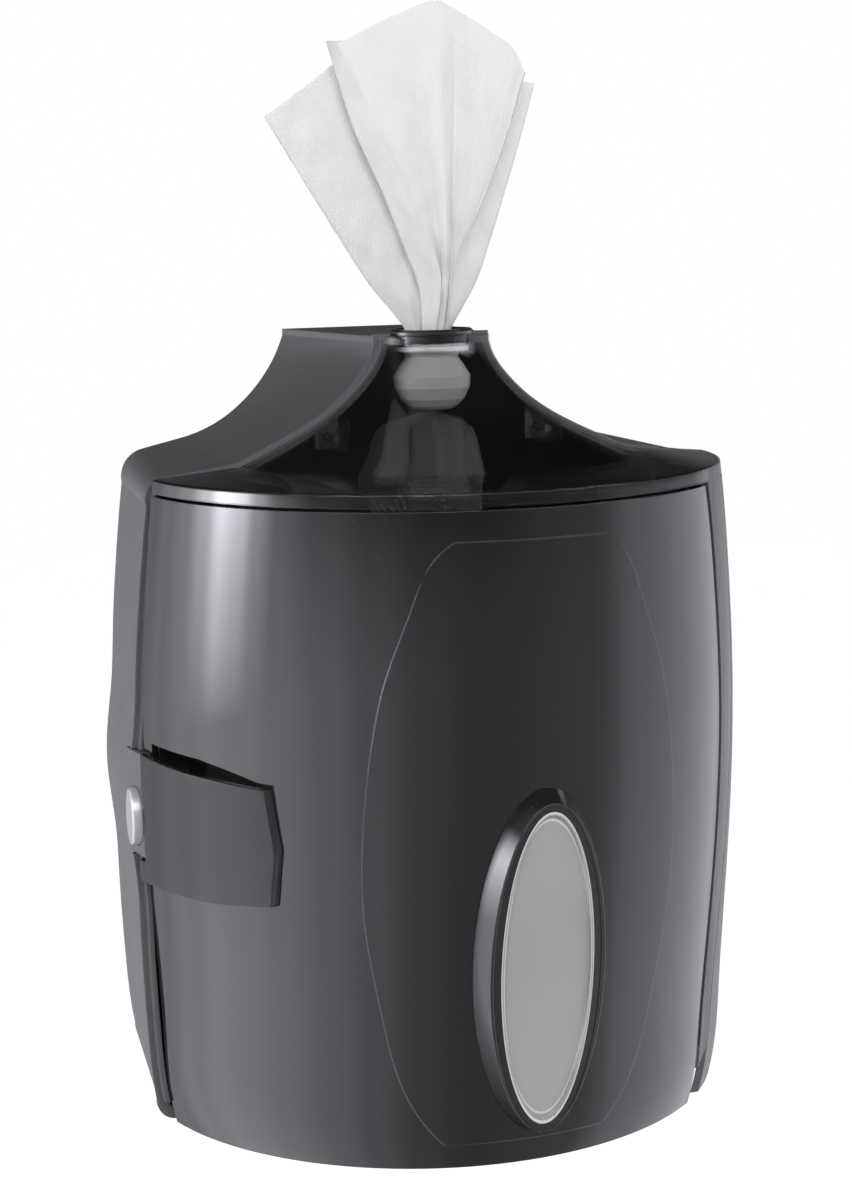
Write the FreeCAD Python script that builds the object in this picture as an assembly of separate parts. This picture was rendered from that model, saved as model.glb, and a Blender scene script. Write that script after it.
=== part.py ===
import FreeCAD, Part
import math
import os

from FreeCAD import Vector

os.makedirs("parts", exist_ok=True)

# Wall-mounted wipes dispenser, in millimetres.
# The wall is the plane Y = 0, the front faces -Y, and the origin is the centre of the wall screw holes.
# "Drop" is a distance down from the ledge where the dome's lip meets the door.

# Overall sizes
BODY_HEIGHT = 285.0
NECK_RISE = 64.5
WALL_TO_AXIS = 108.0
LEDGE_Z = 105.0
BASE_Z = LEDGE_Z - BODY_HEIGHT

# Bulging body: it turns about an axis that leans back from the neck
LEAN = 5.7
LEAN_BEHIND = 5.0
FRONT_DROPS = (-90.0, -40.0, 0.0, 50.0, 100.0, 150.0, 200.0, 250.0, 285.0)
FRONT_DEPTHS = (116.0, 122.5, 126.0, 127.0, 126.0, 122.5, 117.0, 111.0, 106.0)
SIDE_TOP = 131.0
SIDE_WIDE = 142.0
SIDE_BASE = 137.0
WIDE_DROP = 150.0

# Shells, lips and gaps
WALL = 3.0
BACK_WALL = 4.0
SEAM_GAP = 1.2
RIGHT_GAP = 3.0
EDGE_WALL = 1.2
EDGE_STEP = 3.2
LIP_DEPTH = 5.5
LIP_INSET = 1.8
BEAD_RISE = 0.9
BEAD_WIDTH = 2.6
PRESS_CLEAR = 0.1
SEAT_CLEAR = 0.03
RUN_CLEAR = 0.3
STEM_CLEAR = 0.08

# Dome: plateau, concave cone, shelf and edge lip
NECK_R = 26.3
NECK_LIP = 3.0
CREASE_R = 92.0
CREASE_RISE = 10.0
SHELF_RISE = 5.0
LIP_BOTTOM = 0.8
LIP_ROUND = 1.2
NOZZLE_HOLE_R = 17.0

# Side bulge that carries the latch
BULGE = 3.2
BULGE_DROP = 138.0
BULGE_HALF = 46.0

# Wall holes
HOLE_SPACING_X = 120.0
HOLE_SPACING_Z = 140.0
HOLE_R = 2.75
PAD_R = 9.0
PAD_THICK = 2.0

# Door edges, measured from the axis
DOOR_RIGHT_TOP = 86.5
DOOR_RIGHT_LEAN = 0.063
LEG_BACK = 60.0
LEG_END_DROP = 277.0
DOOR_FLANGE = 7.0

# Shield-shaped step on the door
SHIELD_STEP = 0.5
SHIELD_TOP_DROP = 13.0
SHIELD_END_DROP = 274.0

# Window
WINDOW_DROP = 193.6
WINDOW_RIGHT = 3.4
WINDOW_HALF_W = 29.3
WINDOW_HALF_H = 77.5
BEZEL_RISE = 10.0
BEZEL_TAPER = 0.43
RING_WIDTH = 3.4
LENS_HALF_W = 20.9
LENS_HALF_H = 70.0
LENS_THICK = 2.5
LENS_RIM = 1.6

# Grip band and finger pocket
GRIP_ANGLE = -70.5
GRIP_LEFT = 45.5
GRIP_RIGHT = 44.0
GRIP_POINT = 2.6
GRIP_TOP_DROP = 115.0
GRIP_END_DROP = 169.0
GRIP_RISE = 4.2
GRIP_WALL = 2.4
POCKET_RIGHT = 39.0
POCKET_TOP_DROP = 107.5
POCKET_END_DROP = 128.0
POCKET_DEPTH = 15.0
POCKET_WALL = 2.0

# Latch
BUTTON_DROP = 142.5
BUTTON_AHEAD = 2.8
BUTTON_HALF_W = 7.8
BUTTON_HALF_H = 13.0
BUTTON_THICK = 5.0
BUTTON_PROUD = 1.2
BUTTON_TRAVEL = 4.0
TAB_AHEAD = 12.0
TAB_BEHIND = 7.0
TAB_TOP_DROP = 113.0
TAB_END_DROP = 160.0
TAB_DEPTH = 22.0
STEM_R = 2.5
SPRING_R = 4.2
SPRING_WIRE = 0.4
HOOK_THICK = 3.0
STRIKE_AHEAD = 24.0
STRIKE_THICK = 3.0

# Hinge
HINGE_X = 102.5
HINGE_AHEAD = 65.7
HINGE_UPPER_DROP = 62.0
HINGE_LOWER_DROP = 162.0
KNUCKLE_R = 3.8
PIN_R = 2.0
KNUCKLE_H = 14.0
LUG_H = 5.0
LUG_GAP = 0.5

# Tray, roll and wipe
TRAY_R = 112.0
TRAY_THICK = 3.0
TRAY_RIM = 14.0
TRAY_CLEAR = 3.4
ROLL_R = 96.0
ROLL_HOLE_R = 20.0
ROLL_H = 200.0
SHEET_RISE = 147.0

# Screws
SCREW_R = 1.5
HEAD_R = 3.0
HEAD_H = 2.0
BOSS = 11.0

FAR = 400.0
OVER = 14.0
AXIS_Y = -WALL_TO_AXIS


def side_half(drop):
    """Half width of the body at the seam plane."""
    if drop <= WIDE_DROP:
        share = 1.0 - drop / WIDE_DROP
        return SIDE_WIDE - (SIDE_WIDE - SIDE_TOP) * share ** 2
    share = (drop - WIDE_DROP) / (BODY_HEIGHT - WIDE_DROP)
    return SIDE_WIDE - (SIDE_WIDE - SIDE_BASE) * share ** 3


LEAN_FROM = Vector(0, AXIS_Y + LEAN_BEHIND, LEDGE_Z)
LEAN_UP = Vector(0, -math.sin(math.radians(LEAN)), math.cos(math.radians(LEAN)))
LEAN_OUT = Vector(0, -LEAN_UP.z, LEAN_UP.y)


def front_profile():
    """Distance along and from the leaning axis, from the top of the body down."""
    run = []
    for drop, deep in zip(FRONT_DROPS, FRONT_DEPTHS):
        drop = drop * BODY_HEIGHT / 285.0
        at = Vector(0, AXIS_Y - deep, LEDGE_Z - drop) - LEAN_FROM
        run.append((at.dot(LEAN_UP), at.dot(LEAN_OUT)))
    last = run[-1]
    run.append((last[0] - 16.0, last[1] - 3.5))
    return run


PROFILE = front_profile()


def lean_point(along, away):
    return LEAN_FROM + LEAN_UP * along + LEAN_OUT * away


def body_shell(outset, inset):
    """The band of the body between two offsets of its surface."""
    outer = [lean_point(along, away + outset) for along, away in PROFILE]
    inner = [lean_point(along, away - inset) for along, away in PROFILE]
    edges = [spline(outer), Part.makeLine(outer[-1], inner[-1]), spline(inner), Part.makeLine(inner[0], outer[0])]
    return Part.Face(Part.Wire(Part.__sortEdges__(edges))).revolve(LEAN_FROM, LEAN_UP, 360)


def body_solid(inset):
    """The bulging, leaning body as one solid, grown or shrunk sideways by the inset."""
    outer = [lean_point(along, away - inset) for along, away in PROFILE]
    top = lean_point(PROFILE[0][0], 0.0)
    low = lean_point(PROFILE[-1][0], 0.0)
    edges = [spline(outer), Part.makeLine(outer[-1], low), Part.makeLine(low, top), Part.makeLine(top, outer[0])]
    return Part.Face(Part.Wire(Part.__sortEdges__(edges))).revolve(LEAN_FROM, LEAN_UP, 360)


def radius_at(along):
    """Distance of the body's surface from the leaning axis."""
    for (a0, r0), (a1, r1) in zip(PROFILE, PROFILE[1:]):
        if along >= a1:
            return r0 + (r1 - r0) * (along - a0) / (a1 - a0)
    return PROFILE[-1][1]


def inner_reach(at, way, inset):
    """Point where a line from inside the body comes within the inset of its surface."""
    low = 0.0
    high = 300.0
    for _ in range(40):
        reach = (low + high) / 2.0
        place = at + way * reach - LEAN_FROM
        along = place.dot(LEAN_UP)
        away = (place - LEAN_UP * along).Length
        if away < radius_at(along) - inset:
            low = reach
        else:
            high = reach
    return at + way * low


def front_depth(drop):
    """Distance from the neck axis to the front of the body."""
    at = Vector(0, AXIS_Y, LEDGE_Z - drop)
    return AXIS_Y - inner_reach(at, Vector(0, -1, 0), 0.0).y


def box(x0, x1, y0, y1, z0, z1):
    return Part.makeBox(x1 - x0, y1 - y0, z1 - z0, Vector(x0, y0, z0))


def cylinder(radius, start, end):
    way = end - start
    return Part.makeCylinder(radius, way.Length, start, way)


def spline(points):
    """Smooth edge through the points."""
    curve = Part.BSplineCurve()
    curve.interpolate(points)
    return curve.toShape()


def face_of(points):
    return Part.Face(Part.makePolygon(points + [points[0]]))


def screw(seat, way, length):
    """Pan-head screw whose head stands on the seat and whose shank runs along the way."""
    way = Vector(way).normalize()
    head = cylinder(HEAD_R, seat - way * HEAD_H, seat)
    shank = cylinder(SCREW_R, seat - way * 0.5, seat + way * length)
    slot = Part.makeCylinder(HEAD_R * 0.45, HEAD_H * 0.5, seat - way * HEAD_H, way)
    return head.fuse(shank).cut(slot)


def spot_face(seat, way):
    """Flat-bottomed room for a screw's head on a curved skin."""
    return cylinder(HEAD_R + 0.3, seat - way * 7.0, seat)


def group(solids):
    return Part.makeCompound(solids)


def export(shape, name):
    shape = shape.removeSplitter() if shape.ShapeType != "Compound" else shape
    shape.exportStep("parts/" + name + ".step")
    good = all(solid.isValid() for solid in shape.Solids)
    print(name, len(shape.Solids), round(shape.Volume, 1), "valid" if good else "NOT VALID")


# Dome flank at the rim and at the wall: steps out from the neck and up from the crease,
# as drawn, and stretched when the neck or the crease moves
RIM_STEPS = ((0.0, 51.5), (2.3, 44.5), (8.1, 36.0), (18.3, 25.8), (32.7, 16.0), (49.7, 7.4), (65.7, 0.0))
WALL_STEPS = ((0.0, 48.0), (3.5, 39.5), (9.5, 29.5), (18.5, 19.0), (29.5, 10.0), (42.0, 3.5), (54.0, 0.0))
WALL_NECK_MORE = 13.7
WALL_CREASE_MORE = 2.0
WALL_CREASE_UP = 3.5


def flank_points(steps, inner, outer, low):
    """Points of a flank between its neck radius and its crease radius."""
    wide = (outer - inner) / steps[-1][0]
    tall = (NECK_RISE - NECK_LIP - low) / steps[0][1]
    return [(inner + out * wide, low + up * tall) for out, up in steps]


FLANK = flank_points(RIM_STEPS, NECK_R, CREASE_R, CREASE_RISE)
WALL_FLANK = flank_points(WALL_STEPS, NECK_R + WALL_NECK_MORE, CREASE_R + WALL_CREASE_MORE,
                          CREASE_RISE + WALL_CREASE_UP)
SHELF_CORNER = 6.0


def shifted(points, inset):
    """The same open outline moved inwards, with mitred corners."""
    if inset == 0.0:
        return points
    moved = []
    for index, (x, z) in enumerate(points):
        ways = []
        if index > 0:
            ways.append((x - points[index - 1][0], z - points[index - 1][1]))
        if index < len(points) - 1:
            ways.append((points[index + 1][0] - x, points[index + 1][1] - z))
        normals = [(dz / math.hypot(dx, dz), -dx / math.hypot(dx, dz)) for dx, dz in ways]
        nx = sum(n[0] for n in normals) / len(normals)
        nz = sum(n[1] for n in normals) / len(normals)
        size = nx * nx + nz * nz
        moved.append((x + inset * nx / size, z + inset * nz / size))
    return moved


SIDE_DROPS = (22, 50, 78, 94, 106, 120, 138, 156, 170, 182, 196, 216, 240, 262)


def bulge_at(drop):
    share = abs(drop - BULGE_DROP) / BULGE_HALF
    return BULGE * math.cos(math.pi * share / 2.0) ** 2 if share < 1.0 else 0.0


def half_outline(at_wall, bulge_side):
    """Groups of points down one side, from the plateau's middle to the base's middle."""
    flank = WALL_FLANK if at_wall else FLANK
    plateau_half = flank[0][0]
    shelf_end = (112.0, 9.5) if at_wall else (SIDE_TOP - SHELF_CORNER, SHELF_RISE + 0.5)
    corner_mid = (119.0, 5.0) if at_wall else (SIDE_TOP - 0.8, SHELF_RISE - 2.6)
    narrow = 11.0 if at_wall else 0.0
    side = []
    for drop in SIDE_DROPS:
        width = side_half(drop) - narrow * (0.9 + 0.1 * drop / BODY_HEIGHT)
        if bulge_side:
            width = width + bulge_at(drop)
        side.append((width, -drop))
    side_start = (side_half(6.0) - narrow * 0.9, -6.0)
    base_corner = side_half(BODY_HEIGHT - 8.0) - narrow
    foot = [(base_corner - 0.5, 9.0 - BODY_HEIGHT), (base_corner - 2.6, 2.6 - BODY_HEIGHT)]
    return [
        ("line", [(0.0, NECK_RISE), (plateau_half, NECK_RISE)]),
        ("line", [(plateau_half, NECK_RISE), flank[0]]),
        ("spline", flank),
        ("line", [flank[-1], shelf_end]),
        ("arc", [shelf_end, corner_mid, side_start]),
        ("spline", [side_start] + side + [foot[0]]),
        ("arc", [foot[0], foot[1], (base_corner - 9.0, -BODY_HEIGHT)]),
        ("line", [(base_corner - 9.0, -BODY_HEIGHT), (0.0, -BODY_HEIGHT)]),
    ]


def outline_wire(y, at_wall, inset):
    """Closed outline of the rear housing in a plane parallel to the wall."""
    edges = []
    for sign in (1.0, -1.0):
        groups = half_outline(at_wall, sign < 0.0)
        chain = []
        spans = []
        for kind, points in groups:
            start = len(chain) - 1 if chain else 0
            chain = chain + (points[1:] if chain else points)
            spans.append((kind, start, len(chain) - 1))
        moved = shifted(chain, inset)
        moved[0] = (0.0, moved[0][1])
        moved[-1] = (0.0, moved[-1][1])
        places = [Vector(sign * x, y, LEDGE_Z + z) for x, z in moved]
        side = []
        for kind, first, last in spans:
            run = places[first:last + 1]
            if kind == "line":
                side.append(Part.makeLine(run[0], run[-1]))
            elif kind == "arc":
                side.append(Part.Arc(run[0], run[1], run[2]).toShape())
            else:
                side.append(spline(run))
        if sign < 0.0:
            side.reverse()
        edges = edges + side
    return Part.Wire(Part.__sortEdges__(edges))


def rear_block(y_front, y_back, inset):
    """Solid between the rim outline and the wall outline."""
    front = outline_wire(y_front, False, inset)
    back = outline_wire(y_back, True, inset)
    return Part.makeLoft([front, back], True, True)


def outline_ring(y0, y1, outer_inset, inner_inset):
    """A band that follows the rim outline."""
    outer = Part.Face(outline_wire(y0, False, outer_inset)).extrude(Vector(0, y1 - y0, 0))
    inner = Part.Face(outline_wire(y0, False, inner_inset)).extrude(Vector(0, y1 - y0, 0))
    return outer.cut(inner)


def dome_solid(inset):
    """The dome as a solid of revolution about the neck axis."""
    rise = shifted([(0.0, NECK_RISE), (NECK_R, NECK_RISE)] + FLANK
                   + [(SIDE_WIDE + 20.0, SHELF_RISE - 1.2)], inset)
    points = [Vector(r, 0, z) for r, z in rise]
    points[0] = Vector(0, 0, NECK_RISE - inset)
    low = LIP_BOTTOM - (60.0 if inset > 0.0 else 0.0)
    edges = [
        Part.makeLine(points[0], points[1]),
        Part.makeLine(points[1], points[2]),
        spline(points[2:9]),
        Part.makeLine(points[8], points[9]),
        Part.makeLine(points[9], Vector(points[9].x, 0, low)),
        Part.makeLine(Vector(points[9].x, 0, low), Vector(0, 0, low)),
        Part.makeLine(Vector(0, 0, low), points[0]),
    ]
    turned = Part.Face(Part.Wire(edges)).revolve(Vector(0, 0, 0), Vector(0, 0, 1), 360)
    turned.translate(Vector(0, AXIS_Y, LEDGE_Z))
    return turned


SEAM_Y = AXIS_Y - LIP_DEPTH - SEAM_GAP
BODY = body_solid(0.0)
BODY_INNER = body_solid(WALL)
DOME = dome_solid(0.0).common(BODY)
DOME_INNER = dome_solid(WALL).common(BODY_INNER)
REAR = rear_block(AXIS_Y, 0.0, 0.0)
REAR_INNER = rear_block(AXIS_Y - 1.0, -BACK_WALL, WALL)

# Hood screws stand in bosses on both sides of the seam
HOOD_BOSSES = [(x, rise) for x in (-112.0, -50.0, 50.0, 112.0)
               for rise in ((-2.0 if abs(x) > 100.0 else 21.0),)]


def boss_box(x, rise, y0, y1):
    return box(x - BOSS / 2, x + BOSS / 2, y0, y1, LEDGE_Z + rise - BOSS / 2, LEDGE_Z + rise + BOSS / 2 + 6.0)


def door_right_plane(extra):
    """Everything ahead of the leaning plane that ends the door on the right."""
    top = Vector(0, AXIS_Y - DOOR_RIGHT_TOP - extra - DOOR_RIGHT_LEAN * -OVER, LEDGE_Z + OVER)
    low = Vector(0, AXIS_Y - DOOR_RIGHT_TOP - extra + DOOR_RIGHT_LEAN * (BODY_HEIGHT + OVER), BASE_Z - OVER)
    outline = [top, low, Vector(0, -FAR, BASE_Z - OVER), Vector(0, -FAR, LEDGE_Z + OVER)]
    return face_of(outline).extrude(Vector(FAR, 0, 0))


def build_rear_housing():
    shell = REAR.cut(REAR_INNER)
    lip = outline_ring(AXIS_Y - LIP_DEPTH, AXIS_Y + 2.0, LIP_INSET, LIP_INSET + 2.2)
    bead = outline_ring(AXIS_Y, AXIS_Y + BEAD_WIDTH, -BEAD_RISE, WALL / 2)
    right_cut = box(60.0, FAR, -FAR, AXIS_Y, BASE_Z - 1.0, LEDGE_Z - 2.0)
    lip = lip.cut(right_cut)
    lip = lip.cut(box(-FAR, FAR, -FAR, AXIS_Y, BASE_Z - 1.0, BASE_Z + 9.0))
    wrap = body_shell(0.0, WALL).common(
        box(0.0, FAR, AXIS_Y - LEG_BACK + SEAM_GAP / 2, AXIS_Y + 1.0, BASE_Z, LEDGE_Z - 0.6))
    housing = shell.fuse([bead, lip, wrap])
    for x, rise in HOOD_BOSSES:
        housing = housing.fuse(boss_box(x, rise, AXIS_Y, AXIS_Y + BOSS).common(REAR))
    for x in (-HOLE_SPACING_X / 2, HOLE_SPACING_X / 2):
        for z in (-HOLE_SPACING_Z / 2, HOLE_SPACING_Z / 2):
            pad = cylinder(PAD_R, Vector(x, -BACK_WALL - PAD_THICK, z), Vector(x, -1.0, z))
            housing = housing.fuse(pad)
            housing = housing.cut(cylinder(HOLE_R, Vector(x, -30, z), Vector(x, 10, z)))
    for x, rise in HOOD_BOSSES:
        z = LEDGE_Z + rise
        housing = housing.cut(cylinder(SCREW_R + 0.4, Vector(x, AXIS_Y - 10.0, z), Vector(x, AXIS_Y + 30.0, z)))
        housing = housing.cut(cylinder(HEAD_R + 0.6, Vector(x, AXIS_Y + BOSS, z), Vector(x, AXIS_Y + BOSS + 9.0, z)))
    for x, y in TRAY_SCREWS:
        housing = housing.cut(cylinder(SCREW_R, Vector(x, y, BASE_Z - 5.0), Vector(x, y, BASE_Z + 20.0)))
    nozzle = cylinder(NOZZLE_HOLE_R, Vector(0, AXIS_Y, LEDGE_Z + 40.0), Vector(0, AXIS_Y, LEDGE_Z + 90.0))
    ring_room = cylinder(RING_R + PRESS_CLEAR, Vector(0, AXIS_Y, LEDGE_Z + NECK_RISE),
                         Vector(0, AXIS_Y, LEDGE_Z + NECK_RISE + 9.0))
    housing = housing.cut(nozzle).cut(ring_room).cut(latch_block(0.3))
    for drop in LATCH_SCREW_DROPS:
        inner_end = Vector(TAB_INNER - EAR_THICK, LATCH_POST_Y, LEDGE_Z - drop)
        post = cylinder(4.5, Vector(-side_half(drop) - BULGE + 0.8, LATCH_POST_Y, LEDGE_Z - drop), inner_end)
        housing = housing.fuse(post.common(REAR))
        housing = housing.cut(cylinder(SCREW_R, inner_end - Vector(9.0, 0, 0), inner_end))
    return housing


def build_hood():
    front = box(-FAR, FAR, -FAR, SEAM_Y, LEDGE_Z - 60.0, LEDGE_Z + 90.0)
    shell = DOME.cut(DOME_INNER).common(front)
    leg = body_shell(0.0, WALL).common(box(0.0, FAR, -FAR, AXIS_Y - LEG_BACK - SEAM_GAP / 2,
                                           LEDGE_Z - LEG_END_DROP, LEDGE_Z + 3.0))
    leg = leg.cut(door_right_plane(RIGHT_GAP * -0.5))
    tip = face_of([
        Vector(0, AXIS_Y - 76.0, LEDGE_Z - LEG_END_DROP - 1.0),
        Vector(0, AXIS_Y - 40.0, LEDGE_Z - LEG_END_DROP - 1.0),
        Vector(0, AXIS_Y - 40.0, LEDGE_Z - LEG_END_DROP + 34.0),
    ]).extrude(Vector(FAR, 0, 0))
    leg = leg.cut(tip)
    hood = shell.fuse(leg)
    boss_room = DOME.fuse(BODY_INNER.common(box(-FAR, FAR, -FAR, 0.0, BASE_Z, LEDGE_Z + LIP_BOTTOM)))
    for x, rise in HOOD_BOSSES:
        hood = hood.fuse(boss_box(x, rise, SEAM_Y - BOSS, SEAM_Y).common(boss_room))
    for x, rise in HOOD_BOSSES:
        z = LEDGE_Z + rise
        hood = hood.cut(cylinder(SCREW_R, Vector(x, SEAM_Y - BOSS + 1.5, z), Vector(x, AXIS_Y + 30.0, z)))
    nozzle = cylinder(NOZZLE_HOLE_R, Vector(0, AXIS_Y, LEDGE_Z + 40.0), Vector(0, AXIS_Y, LEDGE_Z + 90.0))
    hood = hood.cut(nozzle)
    rim = [edge for edge in hood.Edges if edge.Length > SIDE_TOP and edge.BoundBox.YMax < SEAM_Y + 1.0
           and LEDGE_Z + LIP_BOTTOM + 1.0 < edge.BoundBox.ZMin < LEDGE_Z + CREASE_RISE]
    rim = sorted(rim, key=lambda edge: edge.BoundBox.YMin)[:2]
    return hood.makeFillet(min(LIP_ROUND, WALL * 0.4), rim)


def build_hood_screws():
    screws = []
    for x, rise in HOOD_BOSSES:
        seat = Vector(x, AXIS_Y + BOSS, LEDGE_Z + rise)
        screws.append(screw(seat, Vector(0, -1, 0), BOSS + LIP_DEPTH + SEAM_GAP + BOSS - 3.0))
    return group(screws)


# Nozzle: collar on the plateau and cup beneath it
RING_R = 18.9
RING_RISE = 2.6
RING_BORE = 15.0


def ring_of(points, smooth_from, smooth_to):
    """Turn a closed profile about the neck axis; the named stretch is a curve."""
    places = [Vector(r, 0, z) for r, z in points]
    edges = []
    index = 0
    while index < len(places):
        if index == smooth_from:
            edges.append(spline(places[smooth_from:smooth_to + 1]))
            index = smooth_to
        after = places[(index + 1) % len(places)]
        edges.append(Part.makeLine(places[index], after))
        index = index + 1
    turned = Part.Face(Part.Wire(edges)).revolve(Vector(0, 0, 0), Vector(0, 0, 1), 360)
    turned.translate(Vector(0, AXIS_Y, LEDGE_Z))
    return turned


def build_nozzle_ring():
    top = NECK_RISE + RING_RISE
    sleeve = NOZZLE_HOLE_R - PRESS_CLEAR
    return ring_of([
        (RING_BORE, NECK_RISE - 5.0), (sleeve, NECK_RISE - 5.0), (sleeve, NECK_RISE),
        (RING_R, NECK_RISE), (RING_R, top - 0.9), (RING_R - 0.9, top), (RING_BORE + 1.0, top),
        (RING_BORE, top - 1.0)], -1, -1)


def build_nozzle_cup():
    low = NECK_RISE - 5.0
    return ring_of([
        (16.6, low), (16.6, low - 2.0), (12.4, low - 3.0), (12.0, low - 5.0), (14.4, low - 8.5),
        (17.4, low - 13.5), (17.0, low - 18.5), (14.6, low - 23.6), (11.6, low - 26.8),
        (9.2, low - 28.2), (8.2, low - 26.6), (10.4, low - 25.2), (13.0, low - 22.6),
        (15.1, low - 18.0), (15.3, low - 13.6), (12.4, low - 9.2), (10.0, low - 5.0),
        (10.4, low - 1.6), (11.0, low)], -1, -1)


# Door and what it carries
def window_place():
    slope = math.atan2(front_depth(WINDOW_DROP - 50.0) - front_depth(WINDOW_DROP + 50.0), 100.0)
    up = Vector(0, -math.sin(slope), math.cos(slope))
    out = Vector(0, -math.cos(slope), -math.sin(slope))
    at = Vector(WINDOW_RIGHT, AXIS_Y - front_depth(WINDOW_DROP), LEDGE_Z - WINDOW_DROP)
    return FreeCAD.Placement(FreeCAD.Matrix(
        1, up.x, out.x, at.x, 0, up.y, out.y, at.y, 0, up.z, out.z, at.z, 0, 0, 0, 1))


WINDOW = window_place()


def oval_wire(half_w, half_h, out):
    curve = Part.Ellipse(Vector(0, 0, 0), half_h, half_w)
    wire = Part.Wire(curve.toShape())
    wire.rotate(Vector(0, 0, 0), Vector(0, 0, 1), 90)
    wire.translate(Vector(0, 0, out))
    return wire


def oval_prism(half_w, half_h, low, high, taper=0.0):
    """Oval block across the door at the window, in the door's leaning frame."""
    if taper == 0.0:
        solid = Part.Face(oval_wire(half_w, half_h, low)).extrude(Vector(0, 0, high - low))
    else:
        grow = -low * taper
        shrink = high * taper
        solid = Part.makeLoft([oval_wire(half_w + grow, half_h + grow, low),
                               oval_wire(half_w - shrink, half_h - shrink, high)], True, True)
    solid.Placement = WINDOW
    return solid


BEZEL_FRONT_W = WINDOW_HALF_W - BEZEL_RISE * BEZEL_TAPER
BEZEL_FRONT_H = WINDOW_HALF_H - BEZEL_RISE * BEZEL_TAPER
HOLE_MARGIN = LENS_HALF_W + 2.4


def build_bezel():
    block = oval_prism(WINDOW_HALF_W, WINDOW_HALF_H, -12.0, 16.0, BEZEL_TAPER)
    ring = body_shell(BEZEL_RISE, -SHIELD_STEP - SEAT_CLEAR).common(block)
    collar = body_shell(1.0, WALL + 3.0).common(
        oval_prism(HOLE_MARGIN, LENS_HALF_H + 2.4, -30.0, 20.0))
    bezel = ring.fuse(collar)
    bore = oval_prism(LENS_HALF_W + 0.2, LENS_HALF_H + 0.2, -40.0, 40.0)
    recess = body_shell(BEZEL_RISE + 6.0, -BEZEL_RISE + 1.6).common(
        oval_prism(LENS_HALF_W + RING_WIDTH, LENS_HALF_H + RING_WIDTH, -40.0, 40.0))
    seat = body_shell(BEZEL_RISE - 5.2, -BEZEL_RISE + 7.4).common(
        oval_prism(LENS_HALF_W + 0.4, LENS_HALF_H + 0.4, -40.0, 40.0)).cut(
        oval_prism(LENS_HALF_W - 2.2, LENS_HALF_H - 2.2, -40.0, 40.0))
    return bezel.cut(bore).cut(recess).fuse(seat)


def build_gasket():
    band = body_shell(BEZEL_RISE - 0.4, -BEZEL_RISE + 1.6)
    ring = oval_prism(LENS_HALF_W + RING_WIDTH - 0.1, LENS_HALF_H + RING_WIDTH - 0.1, -40.0, 40.0)
    return band.common(ring).cut(oval_prism(LENS_HALF_W + 0.1, LENS_HALF_H + 0.1, -40.0, 40.0))


def build_lens():
    low = BEZEL_RISE - 5.2
    plate = body_shell(low + LENS_THICK, -low).common(oval_prism(LENS_HALF_W, LENS_HALF_H, -40.0, 40.0))
    rim = body_shell(BEZEL_RISE - 0.6, -low - 1.0).common(oval_prism(LENS_HALF_W, LENS_HALF_H, -40.0, 40.0))
    rim = rim.cut(oval_prism(LENS_HALF_W - LENS_RIM, LENS_HALF_H - LENS_RIM, -40.0, 40.0))
    return plate.fuse(rim)


RETAINER_SCREWS = [(0.0, 1.0), (0.0, -1.0), (1.0, 0.0), (-1.0, 0.0)]
RETAINER_EDGE = 8.0


def retainer_spot(side, end):
    """Point on the door's inner side at a screw of the retainer."""
    half_w = HOLE_MARGIN + 4.2
    half_h = LENS_HALF_H + 2.4 + 4.2
    return WINDOW.multVec(Vector(side * half_w, end * half_h, 0.0))


def build_retainer():
    ring = body_shell(-WALL - SEAT_CLEAR, WALL + 2.6).common(
        oval_prism(HOLE_MARGIN + RETAINER_EDGE, LENS_HALF_H + 2.4 + RETAINER_EDGE, -40.0, 40.0))
    ring = ring.cut(oval_prism(HOLE_MARGIN + 0.1, LENS_HALF_H + 2.5, -40.0, 40.0))
    for side, end in RETAINER_SCREWS:
        seat = retainer_seat(side, end)
        ring = ring.cut(cylinder(SCREW_R + 0.1, seat + Vector(0, 10, 0), seat - Vector(0, 10, 0)))
        ring = ring.cut(spot_face(seat, Vector(0, -1, 0)))
    return ring


def retainer_seat(side, end):
    """Where a retainer screw's head rests: on the retainer's inner face."""
    at = retainer_spot(side, end)
    return inner_reach(Vector(at.x, AXIS_Y, at.z), Vector(0, -1, 0), WALL + 2.0)


def build_retainer_screws():
    return group([screw(retainer_seat(*spot), Vector(0, -1, 0), 4.4) for spot in RETAINER_SCREWS])


def shield_block():
    """Outline of the shield step, pushed through the door's front."""
    right = [(33.0, SHIELD_TOP_DROP), (42.0, 21.0), (50.5, 40.0), (60.5, 68.0), (66.5, 98.0),
             (69.5, 130.0), (69.0, 172.0), (62.0, 214.0), (51.0, 253.0), (36.0, SHIELD_END_DROP)]
    ahead = -FAR
    run = [Vector(x, ahead, LEDGE_Z - drop) for x, drop in right]
    back = [Vector(-x, ahead, LEDGE_Z - drop) for x, drop in reversed(right)]
    edges = [spline(run), Part.makeLine(run[-1], back[0]), spline(back), Part.makeLine(back[-1], run[0])]
    return Part.Face(Part.Wire(edges)).extrude(Vector(0, FAR + AXIS_Y - 60.0, 0))


def grip_frame():
    angle = math.radians(GRIP_ANGLE)
    out = Vector(math.sin(angle), -math.cos(angle), 0)
    along = Vector(math.cos(angle), math.sin(angle), 0)
    return out, along


# Curved top edges: share of the way to the band's left or right end, and the drop added there
GRIP_TOP_CURVE = ((-1.0, -3.5), (-0.45, -1.7), (0.0, -0.5), (0.45, 0.4), (1.0, 1.6))
POCKET_TOP_CURVE = ((-1.0, 0.0), (0.13, 1.2), (0.5, 3.2), (0.8, 5.8), (1.0, 8.0))


def curved_top(curve, left, right, top_drop):
    """Points of a top edge in the band's frame, left to right."""
    return [(share * (left if share < 0.0 else right), -top_drop - more) for share, more in curve]


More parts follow.
